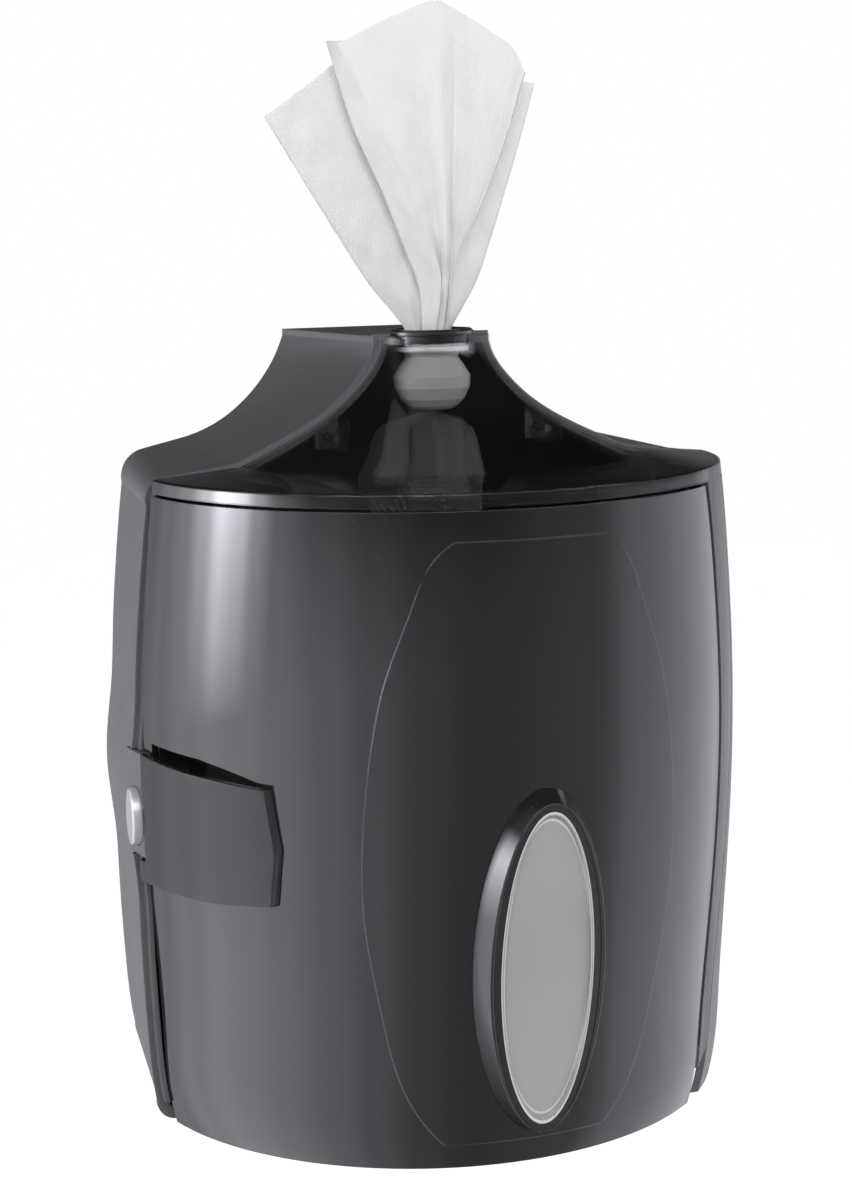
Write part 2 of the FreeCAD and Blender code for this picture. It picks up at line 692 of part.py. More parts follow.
def grip_block(left, right, point, top_drop, end_drop, near=90.0):
    """Prism across the door at the grip, with a slightly pointed right end."""
    out, along = grip_frame()
    start = Vector(0, AXIS_Y, LEDGE_Z) + out * near
    outline = curved_top(GRIP_TOP_CURVE, left, right, top_drop) + [
        (right + point, -(top_drop + end_drop) / 2 - 2.0), (right - 1.4, -end_drop + 1.5),
        (right * 0.3, -end_drop - 1.0), (-left, -end_drop - 2.0)]
    points = [start + along * u + Vector(0, 0, z) for u, z in outline]
    return face_of(points).extrude(out * 90.0)


def build_grip():
    outer = grip_block(GRIP_LEFT, GRIP_RIGHT, GRIP_POINT, GRIP_TOP_DROP, GRIP_END_DROP)
    hollow = grip_block(GRIP_LEFT - GRIP_WALL, GRIP_RIGHT - GRIP_WALL, GRIP_POINT,
                        GRIP_TOP_DROP - 30.0, GRIP_END_DROP - GRIP_WALL)
    block = body_shell(GRIP_RISE, -SEAT_CLEAR).common(outer)
    room = body_shell(GRIP_RISE - GRIP_WALL, 2.0).common(hollow)
    grip = block.cut(room).fuse(build_grip_bosses())
    out, along = grip_frame()
    for seat in grip_seats():
        grip = grip.cut(cylinder(SCREW_R, seat, seat + out * (WALL + GRIP_RISE - 2.6)))
    tab_room = box(-FAR, 0.0, AXIS_Y - TAB_AHEAD - SEAM_GAP, AXIS_Y + 60.0,
                   LEDGE_Z - TAB_END_DROP - SEAM_GAP, LEDGE_Z - TAB_TOP_DROP + 60.0)
    seam_room = box(-FAR, 0.0, SEAM_Y, AXIS_Y + 60.0, BASE_Z, LEDGE_Z)
    return grip.cut(tab_room).cut(seam_room)


GRIP_SCREW_SPOTS = [(-20.0, 158.0), (24.0, 158.0)]


def build_door():
    region = box(-FAR, FAR, -FAR, SEAM_Y, BASE_Z, LEDGE_Z - 0.5)
    region = region.cut(box(0.0, FAR, -FAR, AXIS_Y + 10.0, BASE_Z - 1.0, LEDGE_Z + 1.0).cut(
        door_right_plane(RIGHT_GAP * 0.5)))
    door = body_shell(0.0, WALL).common(region)
    rebate = door_right_plane(0.0).cut(door_right_plane(RIGHT_GAP * 0.5 + EDGE_STEP))
    door = door.cut(rebate.common(body_shell(-EDGE_WALL, WALL + 1.0)))
    step = body_shell(SHIELD_STEP, 1.0).common(shield_block()).common(region)
    flange = BODY.cut(body_solid(WALL + DOOR_FLANGE)).common(region).common(
        box(-FAR, FAR, -FAR, 0.0, BASE_Z, BASE_Z + 2.4))
    door = door.fuse([step, flange])
    door = door.cut(oval_prism(HOLE_MARGIN + 0.3, LENS_HALF_H + 2.7, -40.0, 40.0))
    door = door.cut(pocket_block(0.0))
    tab_room = box(-FAR, 0.0, AXIS_Y - TAB_AHEAD - SEAM_GAP, AXIS_Y,
                   LEDGE_Z - TAB_END_DROP - SEAM_GAP, LEDGE_Z - TAB_TOP_DROP + SEAM_GAP)
    door = door.cut(tab_room)
    out, along = grip_frame()
    for seat in grip_seats():
        door = door.cut(cylinder(SCREW_R + 0.1, seat - out * 3.0, seat + out * 6.0))
        door = door.cut(spot_face(seat, out))
    for side, end in RETAINER_SCREWS:
        seat = retainer_seat(side, end)
        door = door.cut(cylinder(SCREW_R, seat, seat - Vector(0, 4.4, 0)))
    for seat in strike_seats():
        door = door.cut(cylinder(SCREW_R, seat, seat - Vector(STRIKE_THICK + 1.2, 0, 0)))
    for drop, turn in HINGES:
        seat = arm_screw_seat(drop, turn)
        door = door.cut(cylinder(SCREW_R, seat, seat + HINGE_OUT * (WALL + 0.9)))
    return door


def grip_seats():
    """Where the heads of the grip's screws rest, let into the door's inner face."""
    out, along = grip_frame()
    spots = [Vector(0, AXIS_Y, LEDGE_Z - drop) + along * u for u, drop in GRIP_SCREW_SPOTS]
    return [inner_reach(spot, out, WALL - 0.6) for spot in spots]


def build_grip_screws():
    out, along = grip_frame()
    return group([screw(seat, out, WALL + GRIP_RISE - 2.6) for seat in grip_seats()])


def build_grip_bosses():
    """Short posts inside the grip that its screws bite into."""
    out, along = grip_frame()
    posts = []
    for u, drop in GRIP_SCREW_SPOTS:
        at = Vector(0, AXIS_Y, LEDGE_Z - drop) + along * u
        posts.append(cylinder(SCREW_R + 2.2, at + out * 100.0, at + out * 170.0))
    return body_shell(GRIP_RISE - 1.0, -SEAT_CLEAR).common(posts[0].fuse(posts[1]))


def pocket_block(grow):
    """Prism of the finger pocket, ending ahead of the latch housing."""
    out, along = grip_frame()
    start = Vector(0, AXIS_Y, LEDGE_Z) + out * 90.0
    outline = curved_top(POCKET_TOP_CURVE, GRIP_LEFT, POCKET_RIGHT + grow, POCKET_TOP_DROP - grow) + [
        (POCKET_RIGHT + grow, -POCKET_END_DROP - grow), (-GRIP_LEFT, -POCKET_END_DROP - grow)]
    points = [start + along * u + Vector(0, 0, z) for u, z in outline]
    block = face_of(points).extrude(out * 90.0)
    return block.cut(box(-FAR, FAR, AXIS_Y - TAB_AHEAD - SEAM_GAP - 2.3 + grow, FAR, BASE_Z, LEDGE_Z + 50.0))


def build_pocket():
    shell = body_shell(-WALL - SEAT_CLEAR, WALL + POCKET_DEPTH).common(pocket_block(POCKET_WALL))
    room = body_shell(0.0, WALL + POCKET_DEPTH - POCKET_WALL).common(pocket_block(0.0))
    return shell.cut(room)


# Latch: everything slides along X at the button's height
BUTTON_Y = AXIS_Y - BUTTON_AHEAD
BUTTON_Z = LEDGE_Z - BUTTON_DROP
TAB_FACE = -(side_half(BUTTON_DROP) + BULGE)
BUTTON_FACE = TAB_FACE - BUTTON_PROUD
BUTTON_BACK = BUTTON_FACE + BUTTON_THICK
TAB_INNER = TAB_FACE + TAB_DEPTH
GUIDE_THICK = 4.0
HOOK_X = TAB_INNER + 1.0
STRIKE_END = HOOK_X - 0.6


def latch_block(grow):
    """Block that the latch housing fills, or with a margin the room that it needs."""
    lower = LEDGE_Z - TAB_END_DROP - grow
    upper = LEDGE_Z - TAB_TOP_DROP + grow
    block = box(-FAR, TAB_INNER + grow, AXIS_Y - TAB_AHEAD - grow, AXIS_Y + TAB_BEHIND + grow, lower, upper)
    return block.common(body_solid(-BULGE - 4.0 if grow > 0.0 else -BULGE))


def x_oval(half_y, half_z, x0, x1):
    curve = Part.Ellipse(Vector(0, 0, 0), half_z, half_y)
    face = Part.Face(Part.Wire(curve.toShape()))
    face.rotate(Vector(0, 0, 0), Vector(0, 1, 0), 90)
    face.rotate(Vector(0, 0, 0), Vector(1, 0, 0), 0)
    solid = face.extrude(Vector(x1 - x0, 0, 0))
    solid.translate(Vector(x0, BUTTON_Y, BUTTON_Z))
    return solid


LATCH_SCREW_DROPS = (121.0, 152.0)
LATCH_POST_Y = AXIS_Y + TAB_BEHIND + 8.0
EAR_THICK = 3.0


def build_latch_housing():
    block = latch_block(0.0)
    room = x_oval(BUTTON_HALF_W + RUN_CLEAR, BUTTON_HALF_H + RUN_CLEAR, -FAR, TAB_INNER - GUIDE_THICK)
    bore = cylinder(STEM_R + STEM_CLEAR, Vector(-200, BUTTON_Y, BUTTON_Z), Vector(-90, BUTTON_Y, BUTTON_Z))
    housing = block.cut(room).cut(bore)
    ear = box(TAB_INNER - EAR_THICK, TAB_INNER, AXIS_Y, LATCH_POST_Y + 6.0,
              LEDGE_Z - TAB_END_DROP, LEDGE_Z - TAB_TOP_DROP)
    housing = housing.fuse(ear)
    for drop in LATCH_SCREW_DROPS:
        housing = housing.cut(cylinder(SCREW_R + 0.1, Vector(TAB_INNER - 9.0, LATCH_POST_Y, LEDGE_Z - drop),
                                       Vector(TAB_INNER + 1.0, LATCH_POST_Y, LEDGE_Z - drop)))
    return housing


def build_latch_screws():
    seats = [Vector(TAB_INNER, LATCH_POST_Y, LEDGE_Z - drop) for drop in LATCH_SCREW_DROPS]
    return group([screw(seat, Vector(-1, 0, 0), EAR_THICK + 8.0) for seat in seats])


def build_button():
    disc = x_oval(BUTTON_HALF_W, BUTTON_HALF_H, BUTTON_FACE, BUTTON_BACK)
    edges = [edge for edge in disc.Edges if abs(edge.CenterOfMass.x - BUTTON_FACE) < 0.01]
    return disc.makeFillet(1.2, edges)


def build_slider():
    stem = cylinder(STEM_R, Vector(BUTTON_BACK, BUTTON_Y, BUTTON_Z), Vector(HOOK_X + HOOK_THICK, BUTTON_Y, BUTTON_Z))
    plate = box(HOOK_X, HOOK_X + HOOK_THICK, AXIS_Y - STRIKE_AHEAD - STRIKE_THICK - 6.0, BUTTON_Y + 6.0,
                BUTTON_Z - 8.0, BUTTON_Z + 8.0)
    tooth = face_of([
        Vector(HOOK_X, AXIS_Y - STRIKE_AHEAD - STRIKE_THICK - 1.0, BUTTON_Z - 8.0),
        Vector(HOOK_X - 0.3, AXIS_Y - STRIKE_AHEAD - STRIKE_THICK - 1.0, BUTTON_Z - 8.0),
        Vector(HOOK_X, AXIS_Y - STRIKE_AHEAD - STRIKE_THICK - 6.0, BUTTON_Z - 8.0),
    ]).extrude(Vector(0, 0, 16.0))
    return stem.fuse([plate, tooth])


SPRING_TURNS = 5
SPRING_START = BUTTON_BACK + SPRING_WIRE
SPRING_END = TAB_INNER - GUIDE_THICK - SPRING_WIRE


def build_spring():
    pitch = (SPRING_END - SPRING_START) / SPRING_TURNS
    helix = Part.makeHelix(pitch, SPRING_END - SPRING_START, SPRING_R - SPRING_WIRE)
    profile = Part.Wire(Part.makeCircle(SPRING_WIRE, Vector(SPRING_R - SPRING_WIRE, 0, 0), Vector(0, 1, 0)))
    coil = Part.Wire(helix.Edges).makePipeShell([profile], True, True)
    coil.rotate(Vector(0, 0, 0), Vector(0, 1, 0), 90)
    coil.translate(Vector(SPRING_START, BUTTON_Y, BUTTON_Z))
    return coil


STRIKE_Y = AXIS_Y - STRIKE_AHEAD


def build_strike():
    arm = box(-FAR, STRIKE_END, STRIKE_Y - STRIKE_THICK, STRIKE_Y, BUTTON_Z - 7.0, BUTTON_Z + 7.0)
    foot = body_shell(-WALL - SEAT_CLEAR, WALL + STRIKE_THICK).common(
        box(-FAR, 0.0, STRIKE_Y - STRIKE_THICK - 12.0, STRIKE_Y, BUTTON_Z - 7.0, BUTTON_Z + 7.0))
    strike = arm.common(body_solid(WALL + SEAT_CLEAR)).fuse(foot)
    for seat in strike_seats():
        strike = strike.cut(cylinder(SCREW_R + 0.1, seat - Vector(9.0, 0, 0), seat + Vector(5.0, 0, 0)))
        strike = strike.cut(spot_face(seat, Vector(-1, 0, 0)))
    return strike


def strike_seats():
    """Where the heads of the strike's screws rest."""
    spots = [Vector(0, STRIKE_Y - STRIKE_THICK - 6.5, BUTTON_Z + side * 3.6) for side in (-1.0, 1.0)]
    return [inner_reach(spot, Vector(-1, 0, 0), WALL + STRIKE_THICK - 0.9) for spot in spots]


def build_strike_screws():
    return group([screw(seat, Vector(-1, 0, 0), STRIKE_THICK + 1.2) for seat in strike_seats()])


# Hinge in its own directions: along the skin (u) and outwards (n)
HINGE_OUT = Vector(0.72, -0.69, 0).normalize()
HINGE_ALONG = Vector(-HINGE_OUT.y, HINGE_OUT.x, 0)
HINGE_AT = Vector(HINGE_X, AXIS_Y - HINGE_AHEAD, 0)


def hinge_prism(outline, z_low, z_high):
    points = [HINGE_AT + HINGE_ALONG * u + HINGE_OUT * n + Vector(0, 0, z_low) for u, n in outline]
    return face_of(points).extrude(Vector(0, 0, z_high - z_low))


def hinge_round(radius, z_low, z_high):
    return cylinder(radius, HINGE_AT + Vector(0, 0, z_low), HINGE_AT + Vector(0, 0, z_high))


NECK_TURN = 19.0
NECK_BAR = 2.2
ARM_FOOT = 16.0


def build_hinge_arm(drop, turn):
    """Goose-neck arm: knuckle, a bar inwards, a bar along and a foot on the door's inner face."""
    z0 = LEDGE_Z - drop - KNUCKLE_H / 2
    z1 = LEDGE_Z - drop + KNUCKLE_H / 2
    side = turn + 2.0
    bar = hinge_prism([(-NECK_BAR, 0), (NECK_BAR, 0), (NECK_BAR, -turn), (NECK_BAR - 2.0, -turn - NECK_BAR),
                       (-side, -turn - NECK_BAR), (-side - NECK_BAR, -turn), (-side - NECK_BAR, 40.0),
                       (-side + NECK_BAR, 40.0), (-side + NECK_BAR, -turn + NECK_BAR),
                       (-NECK_BAR, -turn + NECK_BAR)], z0, z1)
    foot = hinge_prism([(-side - ARM_FOOT, -30.0), (-side, -30.0), (-side, 40.0), (-side - ARM_FOOT, 40.0)], z0, z1)
    foot = foot.common(body_shell(-WALL - SEAT_CLEAR, WALL + 3.0))
    arm = bar.common(body_solid(WALL + SEAT_CLEAR)).fuse([foot, hinge_round(KNUCKLE_R, z0, z1)])
    arm = arm.cut(hinge_round(PIN_R + 0.05, z0 - 1.0, z1 + 1.0))
    seat = arm_screw_seat(drop, turn)
    arm = arm.cut(spot_face(seat, HINGE_OUT))
    return arm.cut(cylinder(SCREW_R + 0.1, seat - HINGE_OUT * 6.0, seat + HINGE_OUT * 6.0))


def build_hinge_bracket(drop):
    """Two lugs on the wrap, one above and one below the knuckle."""
    mid = LEDGE_Z - drop
    half = KNUCKLE_H / 2 + LUG_GAP
    lugs = []
    for low in (mid + half, mid - half - LUG_H):
        lug = hinge_prism([(0, -KNUCKLE_R), (34.0, -KNUCKLE_R - 12.0), (40.0, 20.0), (0, KNUCKLE_R - 0.4)], low, low + LUG_H)
        lug = lug.fuse(hinge_round(KNUCKLE_R, low, low + LUG_H))
        lugs.append(lug)
    back = hinge_prism([(11.0, -14.0), (40.0, -14.0), (40.0, 20.0), (11.0, 20.0)], mid - half - LUG_H, mid + half + LUG_H)
    behind_leg = box(-FAR, FAR, AXIS_Y - LEG_BACK, 0.0, BASE_Z, LEDGE_Z)
    under_leg = box(-FAR, FAR, -FAR, AXIS_Y - LEG_BACK, BASE_Z, LEDGE_Z)
    whole = lugs[0].fuse([lugs[1], back])
    near = whole.common(behind_leg).common(body_solid(WALL + SEAT_CLEAR))
    ahead = whole.common(under_leg).common(body_solid(WALL + 0.4))
    return near.fuse(ahead).cut(hinge_round(PIN_R, mid - 40.0, mid + 40.0))


def build_hinge_pin(drop):
    mid = LEDGE_Z - drop
    half = KNUCKLE_H / 2 + LUG_GAP + LUG_H
    return hinge_round(PIN_R, mid - half, mid + half).fuse(hinge_round(PIN_R + 1.2, mid + half, mid + half + 1.6))


def arm_screw_seat(drop, turn):
    """Where the screw's head rests on the arm's foot."""
    side = turn + 2.0 + ARM_FOOT - 6.0
    at = HINGE_AT - HINGE_ALONG * side - HINGE_OUT * 12.0 + Vector(0, 0, LEDGE_Z - drop)
    return inner_reach(at, HINGE_OUT, WALL + 2.2)


def build_arm_screws():
    return group([screw(arm_screw_seat(drop, turn), HINGE_OUT, WALL + 0.9) for drop, turn in HINGES])


HINGES = [(HINGE_UPPER_DROP, NECK_TURN), (HINGE_LOWER_DROP, NECK_TURN - 4.0)]

# Tray and roll
TRAY_Z = BASE_Z + WALL + TRAY_CLEAR
TRAY_SCREWS = [(-60.0, AXIS_Y + 72.0), (60.0, AXIS_Y + 72.0), (-84.0, AXIS_Y + 24.0), (84.0, AXIS_Y + 24.0)]
TRAY_BEHIND = 5.0


def build_tray():
    centre = Vector(0, AXIS_Y + TRAY_BEHIND, TRAY_Z)
    plate = Part.makeCylinder(TRAY_R, TRAY_THICK, centre, Vector(0, 0, 1))
    rim = Part.makeCylinder(TRAY_R, TRAY_RIM, centre, Vector(0, 0, 1))
    rim = rim.cut(Part.makeCylinder(TRAY_R - 2.5, TRAY_RIM, centre, Vector(0, 0, 1)))
    tray = plate.fuse(rim)
    ahead = body_solid(WALL + 6.0).common(box(-FAR, FAR, -FAR, AXIS_Y, BASE_Z, LEDGE_Z))
    tray = tray.common(REAR_INNER.fuse(ahead))
    for x, y in TRAY_SCREWS:
        post = cylinder(5.0, Vector(x, y, BASE_Z + WALL), Vector(x, y, TRAY_Z + 1.0))
        tray = tray.fuse(post)
        tray = tray.cut(cylinder(SCREW_R + 0.1, Vector(x, y, BASE_Z), Vector(x, y, TRAY_Z + 20.0)))
        tray = tray.cut(cylinder(HEAD_R + 0.4, Vector(x, y, TRAY_Z + TRAY_THICK - HEAD_H - 0.2),
                                 Vector(x, y, TRAY_Z + 20.0)))
    return tray


def build_tray_screws():
    seats = [Vector(x, y, TRAY_Z + TRAY_THICK - HEAD_H - 0.2) for x, y in TRAY_SCREWS]
    return group([screw(seat, Vector(0, 0, -1), TRAY_CLEAR + WALL + 0.5) for seat in seats])


ROLL_Z = TRAY_Z + TRAY_THICK + RUN_CLEAR


def build_roll():
    centre = Vector(0, AXIS_Y, ROLL_Z)
    roll = Part.makeCylinder(ROLL_R, ROLL_H, centre, Vector(0, 0, 1))
    return roll.cut(Part.makeCylinder(ROLL_HOLE_R, ROLL_H, centre, Vector(0, 0, 1)))


def flat_bunch(x, y, z, half_x, half_y):
    """Closed, flattened section of the strand at one height."""
    curve = Part.Ellipse(Vector(0, 0, 0), half_x, half_y)
    wire = Part.Wire(curve.toShape())
    wire.translate(Vector(x, y, z))
    return wire


def build_strand():
    top = LEDGE_Z + NECK_RISE + RING_RISE - 0.4
    start = ROLL_Z + ROLL_H * 0.8
    cup = LEDGE_Z + NECK_RISE - 31.0
    rings = [
        flat_bunch(-9.0, AXIS_Y, start, 9.0, 4.0),
        flat_bunch(-8.0, AXIS_Y, ROLL_Z + ROLL_H, 10.5, 3.6),
        flat_bunch(-4.0, AXIS_Y, cup - 20.0, 8.5, 4.0),
        flat_bunch(0.0, AXIS_Y, cup, 6.0, 5.0),
        flat_bunch(0.0, AXIS_Y, cup + 19.0, 7.0, 5.6),
        flat_bunch(0.0, AXIS_Y, top, 12.5, 9.0),
    ]
    return Part.makeLoft(rings, True, True)


SHEET_THICK = 1.6


def build_sheet():
    """Fan of the pulled-out wipe: a thin folded strip that spreads from the nozzle."""
    foot_z = LEDGE_Z + NECK_RISE + RING_RISE
    sections = []
    for rise, left, right, depth in ((0.0, -12.5, 12.5, 9.0), (30.0, -26.0, 19.0, 12.0),
                                     (75.0, -58.0, 34.0, 18.0), (SHEET_RISE, -84.0, 54.0, 24.0)):
        folds = (0.0, 0.16, 0.30, 0.47, 0.62, 0.80, 1.0)
        heights = (0.2, 0.75, -0.35, 0.55, -0.65, 0.45, -0.1)
        run = []
        for share, side in zip(folds, heights):
            run.append((left + (right - left) * share, depth * side * 0.5))
        front = [Vector(x, AXIS_Y + y - SHEET_THICK / 2, foot_z + rise) for x, y in run]
        back = [Vector(x, AXIS_Y + y + SHEET_THICK / 2, foot_z + rise) for x, y in reversed(run)]
        sections.append(Part.makePolygon(front + back + [front[0]]))
    fan = Part.makeLoft(sections, True, True)
    top = LEDGE_Z + NECK_RISE + RING_RISE
    outline = [(-12.6, 0.0), (-30.0, 57.0), (-76.0, 94.0), (-46.0, 120.0), (-48.0, 129.0), (0.0, SHEET_RISE),
               (36.0, 127.0), (47.0, 110.0), (34.0, 62.0), (16.0, 8.0), (12.6, 0.0)]
    trim = face_of([Vector(x, -FAR, top + z) for x, z in outline]).extrude(Vector(0, FAR * 1.5, 0))
    return fan.common(trim)


def main():
    export(build_rear_housing(), "rear_housing")
    export(build_hood(), "hood")
    export(build_hood_screws(), "hood_screws")
    export(build_nozzle_ring(), "nozzle_ring")
    export(build_nozzle_cup(), "nozzle_cup")
    export(build_door(), "front_door")
    export(build_grip(), "door_grip")
    export(build_grip_screws(), "grip_screws")
    export(build_pocket(), "grip_pocket")
    export(build_bezel(), "window_bezel")
    export(build_gasket(), "window_gasket")
    export(build_lens(), "window_lens")
    export(build_retainer(), "lens_retainer")
    export(build_retainer_screws(), "retainer_screws")
    export(build_latch_housing(), "latch_housing")
    export(build_latch_screws(), "latch_housing_screws")
    export(build_button(), "latch_button")
    export(build_slider(), "latch_slider")
    export(build_spring(), "button_spring")
    export(build_strike(), "strike_plate")
    export(build_strike_screws(), "strike_screws")
    export(build_hinge_arm(*HINGES[0]), "hinge_arm_upper")
    export(build_hinge_arm(*HINGES[1]), "hinge_arm_lower")
    export(build_arm_screws(), "hinge_arm_screws")
    export(build_hinge_bracket(HINGE_UPPER_DROP), "hinge_bracket_upper")
    export(build_hinge_bracket(HINGE_LOWER_DROP), "hinge_bracket_lower")
    export(build_hinge_pin(HINGE_UPPER_DROP), "hinge_pin_upper")
    export(build_hinge_pin(HINGE_LOWER_DROP), "hinge_pin_lower")
    export(build_tray(), "base_tray")
    export(build_tray_screws(), "tray_screws")
    export(build_roll(), "wipe_roll")
    export(build_strand(), "wipe_strand")
    export(build_sheet(), "wipe_sheet")


if __name__ == "__main__":
    main()
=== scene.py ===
import math
import random

import bpy
from bpy.props import (FloatProperty, FloatVectorProperty, IntProperty, PointerProperty)
from bpy.types import Operator, Panel, PropertyGroup
from mathutils import Matrix, Vector


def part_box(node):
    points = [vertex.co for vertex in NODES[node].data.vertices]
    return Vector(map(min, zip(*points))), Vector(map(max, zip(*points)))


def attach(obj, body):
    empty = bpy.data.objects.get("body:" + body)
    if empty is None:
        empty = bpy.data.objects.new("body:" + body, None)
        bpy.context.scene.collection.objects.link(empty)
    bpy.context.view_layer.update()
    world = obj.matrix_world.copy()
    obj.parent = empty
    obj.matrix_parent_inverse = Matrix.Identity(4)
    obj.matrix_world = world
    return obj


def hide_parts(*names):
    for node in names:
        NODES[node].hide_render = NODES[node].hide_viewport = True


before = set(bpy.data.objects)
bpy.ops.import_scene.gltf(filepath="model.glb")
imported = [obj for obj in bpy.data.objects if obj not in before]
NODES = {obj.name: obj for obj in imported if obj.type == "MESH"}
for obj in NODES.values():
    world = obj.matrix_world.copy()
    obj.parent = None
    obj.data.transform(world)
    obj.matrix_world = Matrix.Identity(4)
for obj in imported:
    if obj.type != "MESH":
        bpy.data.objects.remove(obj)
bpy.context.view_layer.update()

bl_info = {
    "name": "Wipes Dispenser",
    "version": (1, 0, 0),
    "blender": (4, 5, 0),
    "location": "View3D > Sidebar > Dispenser",
    "description": "Finishes and soft pieces of a wall-mounted wipes dispenser",
    "category": "Object",
}

MM = 0.001
AXIS_X = 0.0
AXIS_Y = -108.0

# The photograph's viewpoint, in metres, with its three directions.
EYE = Vector((-0.34054, -1.11809, 0.21916))
EYE_RIGHT = Vector((0.94775, -0.31834, -0.02093))
EYE_UP = Vector((0.06934, 0.14151, 0.98750))
EYE_AHEAD = Vector((0.31140, 0.93736, -0.15619))
EYE_LENS = 99.84

# Fold lines of the fan from its foot in the ring to the top edge, left to right along the cloth.
# Each is a run of (x, y, z) in millimetres; the last number is how sharply the cloth turns there.
FAN_FOLDS = (
    (((-8.5, -101.0, 166.0), (-10.6, -101.0, 172.6), (-16.7, -101.0, 180.7), (-27.1, -101.0, 193.4),
      (-39.6, -101.5, 212.6), (-50.6, -102.0, 229.9), (-72.6, -102.0, 265.9)), 0.0),
    (((-5.0, -103.0, 166.0), (-5.5, -103.2, 172.6), (-9.0, -103.0, 184.0), (-17.0, -103.0, 204.0),
      (-27.5, -103.2, 228.0), (-37.0, -103.6, 252.0), (-50.0, -103.2, 281.8)), 0.5),
    (((-1.0, -103.0, 166.0), (-1.0, -103.4, 172.6), (-1.5, -103.6, 190.0), (-5.0, -104.0, 215.0),
      (-10.5, -104.4, 240.0), (-18.0, -104.6, 266.0), (-27.5, -104.4, 298.5)), 1.0),
    (((-3.0, -106.0, 166.0), (-3.5, -106.4, 172.6), (-5.0, -107.4, 190.0), (-13.5, -108.8, 212.0),
      (-22.5, -109.6, 234.0), (-35.1, -110.0, 261.9), (-45.9, -110.0, 297.7)), 0.8),
    (((0.5, -112.0, 166.0), (0.8, -113.0, 172.6), (2.4, -115.0, 186.0), (0.6, -117.0, 202.5),
      (-14.5, -117.4, 240.3), (-31.9, -116.8, 275.2), (-42.6, -115.6, 295.9)), 1.0),
    (((1.2, -113.0, 166.0), (1.8, -114.0, 172.6), (3.0, -116.0, 188.0), (1.5, -116.2, 214.0),
      (-4.5, -115.4, 248.0), (-12.5, -117.0, 280.0), (-21.5, -119.4, 306.2)), 0.15),
    (((2.4, -114.4, 166.0), (3.2, -115.6, 172.6), (3.9, -117.6, 189.3), (4.2, -119.6, 228.7),
      (2.3, -120.4, 271.9), (0.6, -120.6, 300.0), (-0.4, -120.2, 314.3)), 0.3),
    (((3.6, -112.6, 166.0), (4.6, -112.8, 172.6), (7.0, -113.4, 190.4), (9.2, -114.0, 233.1),
      (10.4, -115.2, 275.7), (10.2, -117.6, 300.0), (9.8, -118.8, 311.4)), 0.85),
    (((4.4, -113.6, 166.0), (5.4, -114.6, 172.6), (8.4, -116.4, 198.0), (15.5, -119.0, 232.8),
      (20.8, -120.6, 263.2), (24.4, -121.0, 284.0), (27.1, -120.4, 300.6)), 0.15),
    (((5.4, -113.0, 166.0), (6.2, -113.8, 172.6), (9.4, -115.4, 198.0), (20.5, -117.4, 232.0),
      (28.0, -118.6, 257.0), (32.6, -119.2, 276.0), (36.6, -119.0, 294.6)), 0.2),
    (((6.2, -111.6, 166.0), (7.0, -112.4, 172.6), (9.0, -113.4, 197.0), (15.8, -114.2, 212.6),
      (24.8, -115.0, 231.0), (34.3, -115.4, 254.6), (44.2, -115.0, 283.7)), 1.0),
    (((1.6, -109.4, 166.0), (1.6, -109.6, 172.6), (1.6, -110.6, 191.0), (2.4, -111.4, 214.0),
      (8.0, -112.0, 236.0), (20.0, -112.4, 260.0), (34.0, -112.4, 284.0)), 1.0),
    (((7.0, -108.0, 166.0), (7.4, -108.2, 172.6), (9.4, -109.0, 192.0), (14.4, -110.0, 214.0),
      (19.4, -110.4, 236.0), (25.0, -110.8, 260.0), (31.0, -110.2, 284.0)), 1.0),
    (((7.6, -106.6, 166.0), (8.2, -106.8, 172.6), (10.0, -107.0, 192.0), (14.0, -107.6, 214.0),
      (18.5, -108.0, 236.0), (23.0, -108.0, 260.0), (27.0, -107.6, 284.0)), 1.0),
    (((9.6, -102.4, 166.0), (12.0, -102.4, 172.6), (23.8, -102.2, 191.9), (31.1, -102.2, 210.6),
      (38.7, -102.2, 232.4), (46.4, -102.4, 255.9), (53.6, -102.4, 279.9)), 0.0),
)

# Two lengths of web between the roll's heart and the nozzle: (left, right) edge points, upwards.
WEB_LEFT = (
    ((-15.0, -106.0, -20.0), (0.0, -108.5, -20.0)),
    ((-15.0, -107.0, 30.0), (1.0, -109.5, 30.0)),
    ((-17.0, -108.5, 70.0), (-1.0, -111.0, 70.0)),
    ((-36.0, -110.0, 100.5), (-13.6, -112.6, 98.0)),
    ((-32.0, -111.0, 116.0), (-13.2, -113.0, 115.0)),
    ((-26.0, -110.6, 129.0), (-12.4, -112.4, 128.0)),
    ((-7.2, -109.2, 134.8), (-1.6, -111.0, 134.6)),
    ((-5.4, -108.6, 143.0), (1.4, -110.6, 143.0)),
    ((-6.0, -107.6, 155.0), (3.6, -109.6, 155.0)),
    ((-7.4, -106.6, 167.0), (5.0, -110.0, 167.0)),
)
WEB_RIGHT = (
    ((3.0, -100.0, -20.0), (15.0, -103.0, -20.0)),
    ((2.0, -101.0, 30.0), (15.5, -103.0, 30.0)),
    ((2.0, -102.0, 70.0), (18.0, -102.5, 70.0)),
    ((2.6, -103.0, 104.0), (25.6, -102.0, 101.0)),
    ((1.6, -103.6, 116.0), (24.6, -102.6, 114.0)),
    ((1.0, -104.0, 128.0), (20.0, -103.6, 127.0)),
    ((0.6, -104.8, 134.6), (6.4, -105.0, 134.2)),
    ((1.2, -105.0, 143.0), (5.6, -105.6, 143.0)),
    ((1.8, -104.6, 155.0), (7.4, -105.4, 155.0)),
    ((2.2, -104.0, 167.0), (8.8, -105.2, 167.0)),
)


# Small node helpers

